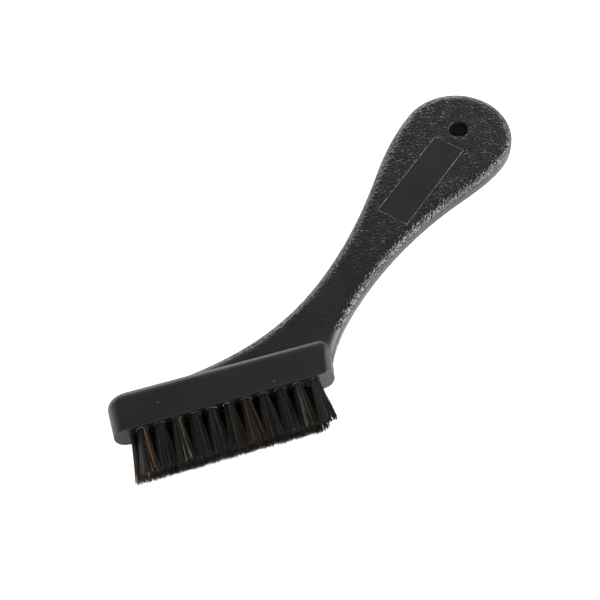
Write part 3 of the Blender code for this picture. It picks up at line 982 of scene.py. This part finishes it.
def label_distance(desk, place, label):
    """How far a place lies outside the label place; everything behind the handle is outside."""
    middle, along, across = label_frame_vectors()
    from_middle = desk.vector("SUBTRACT", place, middle)
    _, _, z = desk.split(place)
    outside = desk.maths("SUBTRACT", MID_Z, z)
    for direction, size in ((along, label.length), (across, label.width)):
        from_axis = desk.maths("ABSOLUTE", desk.dot(from_middle, direction))
        beyond = desk.maths("SUBTRACT", from_axis, 0.5 * size)
        outside = desk.maths("MAXIMUM", outside, beyond)
    return outside


def grain_zone(desk, place, body, label):
    """Share of the full grain: most on the handle's crown, none on walls, head and label place.

    The flat faces are calmer than the crown, most of all near the head.
    """
    _, y, z = desk.split(place)
    above_mid = desk.maths("ABSOLUTE", desk.maths("SUBTRACT", z, MID_Z))
    half = 0.5 * body.handle_thickness
    on_face = desk.ramp(
        above_mid, half - body.grain_reach - body.grain_fade, half - body.grain_reach)
    head_top = FACE_Y + body.head_height_left
    off_head = desk.ramp(y, head_top + GRAIN_HEAD_GAP, head_top + GRAIN_HEAD_FULL)
    off_label = desk.ramp(label_distance(desk, place, label), 0.0, LABEL_EDGE_FADE)
    grained = desk.maths("MULTIPLY", desk.maths("MULTIPLY", on_face, off_head), off_label)
    on_flat = desk.ramp(above_mid, half - FLAT_EDGE_DROP, half - FLAT_FACE_DROP)
    calm = desk.ramp(y, head_top + CALM_START, head_top + CALM_END, *CALM_SHARES)
    lively = desk.maths("SUBTRACT", 1.0, desk.maths("MULTIPLY", on_flat, calm))
    return desk.maths("MULTIPLY", grained, lively)


def grain_relief_tree(body, label, defaults):
    """Geometry nodes that press the leather grain into the surface of the body."""
    tree, desk, given, result = new_shaping("leather_grain_relief", defaults)
    place = desk.add("GeometryNodeInputPosition").outputs["Position"]
    height = grain_height(desk, place, given["Grain Size"])
    zone = grain_zone(desk, place, body, label)
    press = desk.maths("MULTIPLY", desk.maths("SUBTRACT", height, 1.0), zone)
    press = desk.maths("MULTIPLY", press, given["Relief Depth"])
    normal = desk.add("GeometryNodeInputNormal").outputs["Normal"]
    pressed = desk.moved(given["Geometry"], Offset=desk.scaled(normal, press))
    desk.feed(result["Geometry"], desk.real(pressed))
    arrange(tree)
    return tree


def surface_wear_group():
    """Shader group: faint cloudiness, fine scuffs and dust of handled plastic and wire."""
    tree, desk, given, result = new_group(
        "surface_wear", "ShaderNodeTree", PLASTIC_WEAR,
        {"Cloud": 0.0, "Specks": 0.0, "Fine Height": 0.0})
    place = desk.object_place()
    clouds = desk.noise(place, desk.maths("DIVIDE", 1.0, given["Cloud Size"]), 3.0)
    specks = desk.noise(
        place, desk.maths("DIVIDE", 1.0, given["Speck Size"]), 2.0, SPECK_ROUGHNESS_SHARE)
    desk.feed(result["Cloud"], clouds["Fac"])
    desk.feed(result["Specks"], desk.ramp(specks["Fac"], *SPECK_SHARES))
    desk.feed(result["Fine Height"], specks["Fac"])
    arrange(tree)
    return tree


def new_material(name):
    """Empty material with its desk and the inputs of its Principled shader."""
    material = bpy.data.materials.new(name)
    material.use_nodes = True
    material.node_tree.nodes.clear()
    desk = NodeDesk(material.node_tree)
    shader = desk.add("ShaderNodeBsdfPrincipled")
    desk.add("ShaderNodeOutputMaterial", {"Surface": shader.outputs["BSDF"]})
    return material, desk, shader.inputs


def shared_wear(desk, sizes):
    """Outputs of the surface wear group, placed in a material with its own sizes."""
    tree = bpy.data.node_groups.get("surface_wear") or surface_wear_group()
    return desk.add("ShaderNodeGroup", sizes, node_tree=tree).outputs


def plastic_material(body, label):
    """Black moulded plastic: satin on the head and walls, leather grain on the handle."""
    material, desk, shader = new_material("black_moulded_plastic")
    wear = shared_wear(desk, PLASTIC_WEAR)
    place = desk.object_place()
    height = grain_height(desk, place, body.grain_size)
    zone = grain_zone(desk, place, body, label)
    creases = desk.maths("MULTIPLY", desk.maths("SUBTRACT", 1.0, height), zone)
    dust = desk.maths("MULTIPLY", wear["Cloud"], creases)
    clean = (*body.colour, 1.0)
    dusty = (*(PLASTIC_DUST_SHARE * part for part in body.colour), 1.0)
    desk.feed(shader["Base Color"], desk.mixed(dust, clean, dusty))
    cloudy = desk.ramp(
        wear["Cloud"], *PLASTIC_CLOUD_SHARES,
        body.roughness - PLASTIC_ROUGHNESS_SPREAD, body.roughness + PLASTIC_ROUGHNESS_SPREAD)
    polish = desk.maths("MULTIPLY", zone, body.grain_polish)
    desk.feed(shader["Roughness"], desk.maths("SUBTRACT", cloudy, polish))
    grain = desk.bump(desk.maths("MULTIPLY", height, zone), 1.0, body.grain_depth)
    fine = desk.bump(wear["Fine Height"], PLASTIC_FINE_BUMP, PLASTIC_FINE_HEIGHT, grain)
    desk.feed(shader["Normal"], fine)
    arrange(material.node_tree)
    return material


def torn_plastic_and_glint_material():
    """Pale torn plastic on the burrs and gate nubs, whose paleness on the line round the label
    place is a painted glint.
    """
    found = bpy.data.materials.get("torn_plastic_and_glint")
    if found:
        return found
    material, desk, shader = new_material("torn_plastic_and_glint")
    wear = shared_wear(desk, TORN_WEAR)
    paleness = desk.ramp(wear["Cloud"], *TORN_CLOUD_SHARES)
    desk.feed(shader["Base Color"], desk.mixed(paleness, *TORN_AND_GLINT_COLOURS))
    desk.feed(shader["Roughness"], desk.ramp(wear["Specks"], 0.0, 1.0, *TORN_ROUGHNESS))
    arrange(material.node_tree)
    return material


def hair_material():
    """Near-black hair with some red-brown, orange and pale hairs among it, and painted shade
    darkening the roots.
    """
    material, desk, shader = new_material("dark_hair")
    tint = desk.attribute("hair_tint")
    colours = desk.add("ShaderNodeValToRGB", {"Fac": tint})
    stops = colours.color_ramp.elements
    while len(stops) < len(HAIR_COLOURS):
        stops.new(1.0)
    for stop, (position, colour) in zip(stops, HAIR_COLOURS):
        stop.position = position
        stop.color = (*colour, 1.0)
    along = desk.attribute("hair_along")
    # Painted shade: the colour darkens towards each hair's root
    lit = desk.ramp(along, 0.0, PAINTED_ROOT_SHADE_REACH, PAINTED_ROOT_SHADE_SHARE, 1.0)
    shade = desk.joined(lit, lit, lit)
    shaded = desk.mixed(1.0, colours.outputs["Color"], shade, blend_type="MULTIPLY")
    desk.feed(shader["Base Color"], shaded)
    desk.feed(shader["Roughness"], desk.ramp(tint, 0.0, 1.0, *HAIR_ROUGHNESS))
    arrange(material.node_tree)
    return material


def brass_material():
    """Plain drawn brass wire with fine lines along it."""
    material, desk, shader = new_material("anchor_brass")
    wear = shared_wear(desk, BRASS_WEAR)
    desk.feed(shader["Base Color"], desk.mixed(wear["Cloud"], *BRASS_COLOURS))
    desk.feed(shader["Metallic"], 1.0)
    desk.feed(shader["Roughness"], desk.ramp(wear["Specks"], 0.0, 1.0, *BRASS_ROUGHNESS))
    desk.feed(
        shader["Normal"], desk.bump(wear["Fine Height"], BRASS_LINE_BUMP, BRASS_LINE_HEIGHT))
    arrange(material.node_tree)
    return material


def hair_roots(desk, given):
    """A point for each hair of a tuft where it leaves the hole, with what the hair keeps.

    A hair keeps its root, its length, its curl and its tint.
    """
    draw = 0

    def random_number(low, high, power=None):
        """A random number for each hair, bunched towards the low end by a power above 1."""
        nonlocal draw
        draw += 1
        seed = desk.maths("MULTIPLY_ADD", given["Seed"], DRAWS_PER_SEED, float(draw))
        value = desk.add("FunctionNodeRandomValue", {"Seed": seed}, data_type="FLOAT").outputs[1]
        if power is not None:
            value = desk.maths("POWER", value, power)
        return desk.ramp(value, 0.0, 1.0, low, high, smooth=False)

    index = desk.add("GeometryNodeInputIndex").outputs["Index"]
    filled = desk.maths("DIVIDE", desk.maths("ADD", index, 0.5), given["Hairs"])
    reach = desk.maths("MULTIPLY", desk.maths("SQRT", filled), given["Bundle Radius"])
    angle = desk.maths("MULTIPLY_ADD", index, GOLDEN_ANGLE, given["Seed"])
    stray = desk.maths("MULTIPLY", given["Hair Radius"], ROOT_STRAY_SHARE)
    stray_x = desk.maths("MULTIPLY", random_number(-1.0, 1.0), stray)
    stray_z = desk.maths("MULTIPLY", random_number(-1.0, 1.0), stray)
    x = desk.maths("MULTIPLY_ADD", reach, desk.maths("COSINE", angle), stray_x)
    z = desk.maths("MULTIPLY_ADD", reach, desk.maths("SINE", angle), stray_z)
    points = desk.add(
        "GeometryNodePoints", {"Count": given["Hairs"], "Position": desk.joined(x, 0.0, z)})
    place = desk.add("GeometryNodeInputPosition").outputs["Position"]
    hairs = desk.store(points.outputs["Points"], "hair_root", "FLOAT_VECTOR", place)

    shorter = desk.maths("MULTIPLY", random_number(0.0, 1.0, SHORTER_CURVE), given["Raggedness"])
    length = desk.maths("SUBTRACT", given["Trim Length"], shorter)
    hairs = desk.store(hairs, "hair_length", "FLOAT", length)

    turn = random_number(0.0, 2.0 * math.pi)
    swing = random_number(0.0, 1.0, SWING_CURVE)
    swing_x = desk.maths("MULTIPLY", swing, desk.maths("COSINE", turn))
    swing_z = desk.maths("MULTIPLY", swing, desk.maths("SINE", turn))
    curl = desk.scaled(desk.joined(swing_x, 0.0, swing_z), given["Curl"])
    hairs = desk.store(hairs, "hair_curl", "FLOAT_VECTOR", curl)

    lock = desk.noise(desk.vector("ADD", place, given["Place"]), LOCKS_PER_METRE, 0.0)
    likely = desk.ramp(lock["Fac"], *LOCK_SHARES, *LOCK_WARMTH_SHARES)
    likely = desk.maths("MULTIPLY", likely, given["Warm Share"])
    warm = desk.maths("LESS_THAN", random_number(0.0, 1.0), likely)
    spread = random_number(-WARM_TINT_SPREAD_SHARE, WARM_TINT_SPREAD_SHARE)
    warm_tint = desk.maths("ADD", given["Warm Tint"], spread)
    dark_tint = random_number(0.0, DARK_TINT_SHARE, DARK_TINT_CURVE)
    tint = desk.ramp(warm, 0.0, 1.0, dark_tint, warm_tint, smooth=False)
    return desk.store(hairs, "hair_tint", "FLOAT", tint)


def hair_strands(desk, given, hairs):
    """A strand for each hair, from its fold over the anchor down to its cut tip."""
    line = desk.add("GeometryNodeCurvePrimitiveLine", {"End": (0.0, -1.0, 0.0)})
    fine_line = desk.add(
        "GeometryNodeResampleCurve", {"Curve": line.outputs["Curve"], "Count": STRAND_POINTS})
    strands = desk.real(desk.copies(hairs, fine_line.outputs["Curve"]))

    share = desk.add("GeometryNodeSplineParameter").outputs["Factor"]
    mouth = STRAND_POINTS_IN_HOLE / (STRAND_POINTS - 1)
    rise = desk.ramp(share, 0.0, mouth, FOLD_HEIGHT, 0.0, smooth=False)
    free = desk.ramp(share, mouth, 1.0, smooth=False)
    drop = desk.maths("MULTIPLY", free, desk.recall("hair_length", "FLOAT"))
    reached = desk.maths("DIVIDE", drop, given["Trim Length"])

    root = desk.recall("hair_root", "FLOAT_VECTOR")
    fan = desk.scaled(root, desk.maths("DIVIDE", 1.0, given["Bundle Radius"]))
    flare = desk.joined(given["Flare Along Row"], 0.0, given["Flare Across Rows"])
    lean = desk.joined(given["End Lean"], 0.0, given["Row Lean"])
    fan = desk.vector("ADD", desk.vector("MULTIPLY", fan, flare), lean)
    fan = desk.scaled(fan, desk.maths("POWER", reached, FLARE_CURVE))
    curl = desk.recall("hair_curl", "FLOAT_VECTOR")
    curl = desk.scaled(curl, desk.maths("POWER", reached, CURL_CURVE))
    x, _, z = desk.split(desk.vector("ADD", desk.vector("ADD", root, fan), curl))

    beside = desk.maths("MAXIMUM", desk.maths("ABSOLUTE", z), ANCHOR_ROOM)
    beside = desk.maths("MULTIPLY", desk.maths("SIGN", z), beside)
    at_anchor = desk.maths("GREATER_THAN", rise, 0.5 * ANCHOR_LOW_HEIGHT)
    past = desk.maths("MULTIPLY", at_anchor, desk.maths("SUBTRACT", beside, z))
    path = desk.joined(x, desk.maths("SUBTRACT", rise, drop), desk.maths("ADD", z, past))
    strands = desk.moved(strands, Position=desk.vector("ADD", path, given["Place"]))
    return desk.store(strands, "hair_along", "FLOAT", reached)


def hair_tuft_tree(material, defaults):
    """Geometry nodes for one tuft: hairs packed in a hole, folded round the anchor, flared."""
    tree, desk, given, result = new_shaping("hair_tuft", defaults)
    strands = hair_strands(desk, given, hair_roots(desk, given))
    ring = desk.add(
        "GeometryNodeCurvePrimitiveCircle", {"Resolution": STRAND_SIDES, "Radius": 1.0})
    radius = desk.ramp(
        desk.recall("hair_along", "FLOAT"), 0.0, 1.0,
        given["Hair Radius"], given["Tip Radius"], smooth=False)
    tubes = desk.add("GeometryNodeCurveToMesh", {
        "Curve": strands, "Profile Curve": ring.outputs["Curve"],
        "Scale": radius, "Fill Caps": True,
    }).outputs["Mesh"]
    for name in ("hair_root", "hair_length", "hair_curl"):
        inputs = {"Geometry": tubes, "Name": name}
        tubes = desk.add("GeometryNodeRemoveAttribute", inputs).outputs["Geometry"]
    desk.feed(result["Geometry"], desk.painted(tubes, material))
    arrange(tree)
    return tree


def tuft_values(hair, row, number, seed):
    """Inputs of the hair tree for one tuft."""
    centre = tuft_centre(row, number)
    low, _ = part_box(numbered("tuft", row, number))
    end_lean = 0.0
    if number in (1, TUFTS_PER_ROW):
        end_lean = math.copysign(hair.end_lean, centre.x)
    return {
        "Hairs": hair.hairs_per_tuft,
        "Bundle Radius": 0.5 * TUFT_HOLE_DIAMETER - 0.5 * hair.hair_diameter - BUNDLE_CLEARANCE,
        "Hair Radius": 0.5 * hair.hair_diameter,
        "Tip Radius": 0.5 * hair.tip_diameter,
        "Trim Length": FACE_Y - low.y,
        "Raggedness": hair.raggedness,
        "Flare Along Row": hair.flare_along,
        "Flare Across Rows": hair.flare_across,
        "End Lean": end_lean,
        "Row Lean": ROW_SIDES[row] * hair.row_lean,
        "Curl": hair.curl,
        "Warm Share": WARM_SHARES[row][number - 1],
        "Warm Tint": WARM_TINT_SHARES[row][number - 1],
        "Place": centre,
        "Seed": seed,
    }


def burr_tree(material, defaults):
    """Geometry nodes for the flakes of torn plastic round the mouths of the tuft holes."""
    tree, desk, given, result = new_shaping("mouth_burrs", defaults)

    def random_vector(least, most, draw):
        """Three random numbers for each flake."""
        inputs = {
            "Min": least, "Max": most, "Seed": desk.maths("ADD", given["Seed"], float(draw)),
        }
        return desk.add("FunctionNodeRandomValue", inputs, data_type="FLOAT_VECTOR").outputs[0]

    ring = desk.add("GeometryNodeMeshCircle", {
        "Vertices": given["Flakes per Hole"], "Radius": given["Mouth Radius"],
    })
    upright = (0.5 * math.pi, 0.0, 0.0)
    mouths = desk.real(desk.copies(given["Geometry"], ring.outputs["Mesh"], upright))
    stray = desk.scaled(random_vector(*FLAKE_STRAY_SHARES, 1), given["Flake Size"])
    flake = desk.add(
        "GeometryNodeMeshIcoSphere", {"Radius": given["Flake Size"], "Subdivisions": 1})
    flakes = desk.copies(
        desk.moved(mouths, Offset=stray), flake.outputs["Mesh"],
        random_vector(*FLAKE_TURNS, 2), random_vector(*FLAKE_STRETCH_SHARES, 3))
    desk.feed(result["Geometry"], desk.painted(flakes, material))
    arrange(tree)
    return tree


class BRUSH_OT_add_body(bpy.types.Operator):
    """Make the moulded body: paddle, head bar, holes and leather grain"""

    bl_idname = "brush.add_body"
    bl_label = "Moulded Body"

    def execute(self, context):
        """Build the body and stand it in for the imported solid."""
        body = context.scene.brush_body
        label = context.scene.brush_label
        piece = paddle(body)
        cut_or_join(piece, "UNION", head_block(body))
        for tool in (
            tuft_hole_tool(), anchor_pocket_tool(), hang_hole_tool(body), gate_mark_tool(body),
        ):
            cut_or_join(piece, "DIFFERENCE", tool)
        mesh_edit = bmesh.new()
        mesh_edit.from_mesh(piece.data)
        half = 0.5 * body.handle_thickness
        mouth_radius = 0.5 * body.hang_hole_diameter + body.hang_hole_edge
        fill_with_grid(mesh_edit, MID_Z + half, 1.0, mouth_radius)
        fill_with_grid(mesh_edit, MID_Z - half, -1.0, mouth_radius)
        if any(len(edge.link_faces) != 2 for edge in mesh_edit.edges):
            raise RuntimeError("the moulded body is not closed")
        mesh_edit.to_mesh(piece.data)
        mesh_edit.free()
        piece.data.shade_smooth()
        piece.data.set_sharp_from_angle(angle=SMOOTH_ANGLE)
        grain = {
            "Grain Size": body.grain_size,
            "Relief Depth": GRAIN_RELIEF_SHARE * body.grain_depth,
        }
        add_shaping(piece, "Leather Grain", grain_relief_tree(body, label, grain), grain)
        even = piece.modifiers.new("Even Normals", "WEIGHTED_NORMAL")
        even.keep_sharp = True
        bake_modifiers(piece)
        piece.data.materials.clear()
        piece.data.materials.append(plastic_material(body, label))
        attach(piece, BODY)
        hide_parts("handle_body")
        return {"FINISHED"}


def label_outline(body, label):
    """Places along the edge of the label place, half sunk in the handle's front face."""
    middle, along, across = label_frame_vectors()
    middle.z = MID_Z + 0.5 * body.handle_thickness - LABEL_LINE_SINK
    corners = ((1.0, 1.0), (-1.0, 1.0), (-1.0, -1.0), (1.0, -1.0))
    outline = []
    for quarter, (side_along, side_across) in enumerate(corners):
        corner_along = side_along * (0.5 * label.length - label.corner_radius)
        corner_across = side_across * (0.5 * label.width - label.corner_radius)
        for step in range(LABEL_LINE_CORNER_STEPS + 1):
            turn = heading(0.5 * math.pi * (quarter + step / LABEL_LINE_CORNER_STEPS))
            outline.append(
                middle + along * (corner_along + label.corner_radius * turn.x)
                + across * (corner_across + label.corner_radius * turn.y))
    return outline


def closed_tube(name, places, radius):
    """Mesh of a thin tube along a closed line."""
    curve = bpy.data.curves.new(name, "CURVE")
    curve.dimensions = "3D"
    curve.bevel_depth = radius
    curve.bevel_resolution = 1
    spline = curve.splines.new("POLY")
    spline.points.add(len(places) - 1)
    spline.use_cyclic_u = True
    for point, place in zip(spline.points, places):
        point.co = (*place, 1.0)
    line = new_object(name, curve)
    graph = bpy.context.evaluated_depsgraph_get()
    mesh = bpy.data.meshes.new_from_object(line.evaluated_get(graph))
    bpy.data.objects.remove(line, do_unlink=True)
    return mesh


class BRUSH_OT_add_label_line(bpy.types.Operator):
    """Add the fine raised line round the bare label place"""

    bl_idname = "brush.add_label_line"
    bl_label = "Label Place"

    def execute(self, context):
        """Draw the line as a closed tube on the handle's front face."""
        label = context.scene.brush_label
        outline = label_outline(context.scene.brush_body, label)
        mesh = closed_tube("label_outline", outline, label.line_radius)
        mesh.shade_smooth()
        mesh.materials.clear()
        # The line's pale colour is a painted glint along the edge of the label place
        mesh.materials.append(torn_plastic_and_glint_material())
        piece = new_object("label_line", mesh)
        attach(piece, BODY)
        return {"FINISHED"}


def gate_nubs(body):
    """The low nubs of torn plastic that stand in the gate marks."""
    mesh_edit = bmesh.new()
    floor_of_mark = MID_Z + 0.5 * body.head_width - GATE_MARK_DEPTH
    flat = Matrix.Diagonal((1.0, 1.0, 0.5 * GATE_MARK_DEPTH / GATE_NUB_RADIUS, 1.0))
    for mark in GATE_MARKS:
        place = Matrix.Translation((mark.x, mark.y, floor_of_mark))
        bmesh.ops.create_icosphere(
            mesh_edit, subdivisions=GATE_NUB_FINENESS, radius=GATE_NUB_RADIUS,
            matrix=place @ flat)
    nubs = object_from_bmesh("gate_nubs", mesh_edit)
    nubs.data.shade_smooth()
    return nubs


class BRUSH_OT_add_burrs(bpy.types.Operator):
    """Add the torn plastic at the hole mouths and in the gate marks"""

    bl_idname = "brush.add_burrs"
    bl_label = "Burrs"

    def execute(self, context):
        """Scatter flakes round each mouth, and set a nub in each gate mark."""
        body = context.scene.brush_body
        mouths = bpy.data.meshes.new("mouth_centres")
        mouths.from_pydata([tuft_centre(row, number) for row, number in tuft_numbers()], [], [])
        piece = new_object("mouth_burrs", mouths)
        values = {
            "Flakes per Hole": body.flakes_per_hole,
            "Mouth Radius": 0.5 * TUFT_HOLE_DIAMETER + 0.5 * body.flake_size,
            "Flake Size": body.flake_size,
            "Seed": body.flake_seed,
        }
        add_shaping(piece, "Burrs", burr_tree(torn_plastic_and_glint_material(), values), values)
        bake_modifiers(piece)
        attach(piece, BODY)
        nubs = gate_nubs(body)
        nubs.data.materials.append(torn_plastic_and_glint_material())
        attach(nubs, BODY)
        return {"FINISHED"}


class BRUSH_OT_add_tufts(bpy.types.Operator):
    """Make the hair of every tuft in both rows"""

    bl_idname = "brush.add_tufts"
    bl_label = "Hair Tufts"

    def execute(self, context):
        """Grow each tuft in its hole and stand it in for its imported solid."""
        hair = context.scene.brush_hair
        tufts = {
            (row, number): tuft_values(hair, row, number, hair.seed + count)
            for count, (row, number) in enumerate(tuft_numbers())
        }
        tree = hair_tuft_tree(hair_material(), next(iter(tufts.values())))
        for (row, number), values in tufts.items():
            name = numbered("hair", row, number)
            piece = new_object(name, bpy.data.meshes.new(name))
            add_shaping(piece, "Hair", tree, values)
            bake_modifiers(piece)
            if not piece.data.polygons:
                raise RuntimeError(f"{name} came out empty")
            piece.data.shade_smooth()
            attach(piece, BODY)
            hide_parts(numbered("tuft", row, number))
        return {"FINISHED"}


class BRUSH_OT_finish_anchors(bpy.types.Operator):
    """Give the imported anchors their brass"""

    bl_idname = "brush.finish_anchors"
    bl_label = "Brass Anchors"

    def execute(self, context):
        """Assign the brass to every anchor's material slots."""
        brass = brass_material()
        for name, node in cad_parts.items():
            if name.startswith("anchor_"):
                for slot in node.material_slots:
                    slot.material = brass
        return {"FINISHED"}


class BRUSH_OT_add_stage(bpy.types.Operator):
    """Set up the pale floor, the backdrop light, the lamps and the camera"""

    bl_idname = "brush.add_stage"
    bl_label = "Studio"

    def execute(self, context):
        """Build the studio round the brush."""
        studio = context.scene.brush_studio
        add_floor(studio)
        light_backdrop(context.scene, studio)
        add_lamps(studio)
        add_camera(context.scene)
        context.scene.view_settings.view_transform = "Standard"
        return {"FINISHED"}


def seen_directly(desk, mirrored_share):
    """1 where the camera looks straight or through glass, and a share of it in reflections."""
    path = desk.add("ShaderNodeLightPath")
    mirrored = desk.maths("MULTIPLY", path.outputs["Is Glossy Ray"], mirrored_share)
    seen = desk.maths("MAXIMUM", path.outputs["Is Camera Ray"], mirrored)
    return desk.maths("MAXIMUM", seen, path.outputs["Is Transmission Ray"])


def add_floor(studio):
    """Pale floor under the brush, which keeps the brush's shadow, with painted shadow added
    close under the brush, where the floor's glow fades and its colour darkens.
    """
    mesh_edit = bmesh.new()
    bmesh.ops.create_grid(mesh_edit, x_segments=1, y_segments=1, size=0.5 * studio.floor_size)
    floor = object_from_bmesh("floor", mesh_edit)
    material, desk, shader = new_material("pale_floor")
    desk.feed(shader["Roughness"], FLOOR_ROUGHNESS)
    desk.feed(shader["Specular IOR Level"], 0.0)
    desk.feed(shader["Emission Color"], WHITE)
    # Painted shadow: ambient occlusion dims the glow and darkens the colour close under the
    # brush
    cover = desk.add(
        "ShaderNodeAmbientOcclusion", {"Distance": studio.painted_shadow_reach},
        samples=FLOOR_COVER_SAMPLES)
    opened = desk.ramp(cover.outputs["AO"], *PAINTED_SHADOW_AO_SHARES)
    covered = (*studio.painted_shadow_colour, 1.0)
    open_floor = (*studio.floor_colour, 1.0)
    desk.feed(shader["Base Color"], desk.mixed(opened, covered, open_floor))
    glow = desk.maths("MULTIPLY", opened, studio.floor_glow)
    seen = seen_directly(desk, studio.mirrored_glow_share)
    desk.feed(shader["Emission Strength"], desk.maths("MULTIPLY", seen, glow))
    arrange(material.node_tree)
    floor.data.materials.append(material)


def light_backdrop(scene, studio):
    """World light: white round the horizon, dimmer overhead."""
    world = bpy.data.worlds.new("pale_backdrop")
    scene.world = world
    world.use_nodes = True
    world.node_tree.nodes.clear()
    desk = NodeDesk(world.node_tree)
    direction = desk.add("ShaderNodeTexCoord").outputs["Generated"]
    _, _, climb = desk.split(direction)
    strength = desk.ramp(
        climb, *BACKDROP_CLIMB_SHARES, studio.horizon_strength, studio.zenith_strength,
        smooth=False)
    background = desk.add("ShaderNodeBackground", {"Color": WHITE, "Strength": strength})
    desk.add("ShaderNodeOutputWorld", {"Surface": background.outputs["Background"]})
    arrange(world.node_tree)


def add_lamps(studio):
    """Two low softboxes, whose light skims the grain."""
    powers = {"back": studio.back_power, "side": studio.side_power}
    for side, (azimuth, elevation, (width, height)) in SOFTBOXES.items():
        light = bpy.data.lights.new(f"{side}_softbox", "AREA")
        light.shape = "RECTANGLE"
        light.size = width
        light.size_y = height
        light.energy = powers[side]
        lamp = new_object(light.name, light)
        flat = SOFTBOX_DISTANCE * math.cos(elevation)
        climb = SOFTBOX_DISTANCE * math.sin(elevation)
        lamp.location = CAMERA_AIM + Vector((
            flat * math.cos(azimuth), flat * math.sin(azimuth), climb))
        lamp.rotation_euler = (CAMERA_AIM - lamp.location).to_track_quat("-Z", "Y").to_euler()
        lamp.visible_camera = False


def add_camera(scene):
    """Camera at the photograph's viewing angle."""
    data = bpy.data.cameras.new("camera")
    data.lens = CAMERA_LENS_MM
    data.sensor_width = CAMERA_SENSOR_MM
    camera = new_object("camera", data)
    camera.location = CAMERA_PLACE
    aim = (CAMERA_AIM - CAMERA_PLACE).to_track_quat("-Z", "Y").to_matrix().to_4x4()
    roll = Matrix.Rotation(CAMERA_ROLL, 4, "Z")
    camera.rotation_euler = (aim @ roll).to_euler()
    scene.camera = camera


class BRUSH_PT_sidebar(bpy.types.Panel):
    """Sidebar panel that lists the pieces of the brush."""

    bl_idname = "BRUSH_PT_sidebar"
    bl_label = "Upholstery Brush"
    bl_space_type = "VIEW_3D"
    bl_region_type = "UI"
    bl_category = "Brush"

    def draw(self, context):
        """Show each group's settings with the button that makes it."""
        scene = context.scene
        for settings, operators in (
            (scene.brush_body, (BRUSH_OT_add_body, BRUSH_OT_add_burrs)),
            (scene.brush_label, (BRUSH_OT_add_label_line,)),
            (scene.brush_hair, (BRUSH_OT_add_tufts, BRUSH_OT_finish_anchors)),
            (scene.brush_studio, (BRUSH_OT_add_stage,)),
        ):
            box = self.layout.box()
            for name in settings.__annotations__:
                box.prop(settings, name)
            for operator in operators:
                box.operator(operator.bl_idname)


SETTINGS = {
    "brush_body": BrushBodySettings,
    "brush_label": BrushLabelSettings,
    "brush_hair": BrushHairSettings,
    "brush_studio": BrushStudioSettings,
}
OPERATORS = (
    BRUSH_OT_add_body,
    BRUSH_OT_add_label_line,
    BRUSH_OT_add_burrs,
    BRUSH_OT_add_tufts,
    BRUSH_OT_finish_anchors,
    BRUSH_OT_add_stage,
)


def register():
    """Register the settings, the operators and the panel."""
    for name, settings in SETTINGS.items():
        bpy.utils.register_class(settings)
        setattr(bpy.types.Scene, name, PointerProperty(type=settings))
    for operator in OPERATORS:
        bpy.utils.register_class(operator)
    bpy.utils.register_class(BRUSH_PT_sidebar)


def unregister():
    """Take everything back out, in the opposite order."""
    bpy.utils.unregister_class(BRUSH_PT_sidebar)
    for operator in reversed(OPERATORS):
        bpy.utils.unregister_class(operator)
    for name, settings in reversed(SETTINGS.items()):
        delattr(bpy.types.Scene, name)
        bpy.utils.unregister_class(settings)


def main():
    """Make every piece and the stage."""
    register()
    bpy.ops.brush.add_body()
    bpy.ops.brush.add_label_line()
    bpy.ops.brush.add_burrs()
    bpy.ops.brush.add_tufts()
    bpy.ops.brush.finish_anchors()
    bpy.ops.brush.add_stage()


if __name__ == "__main__":
    main()
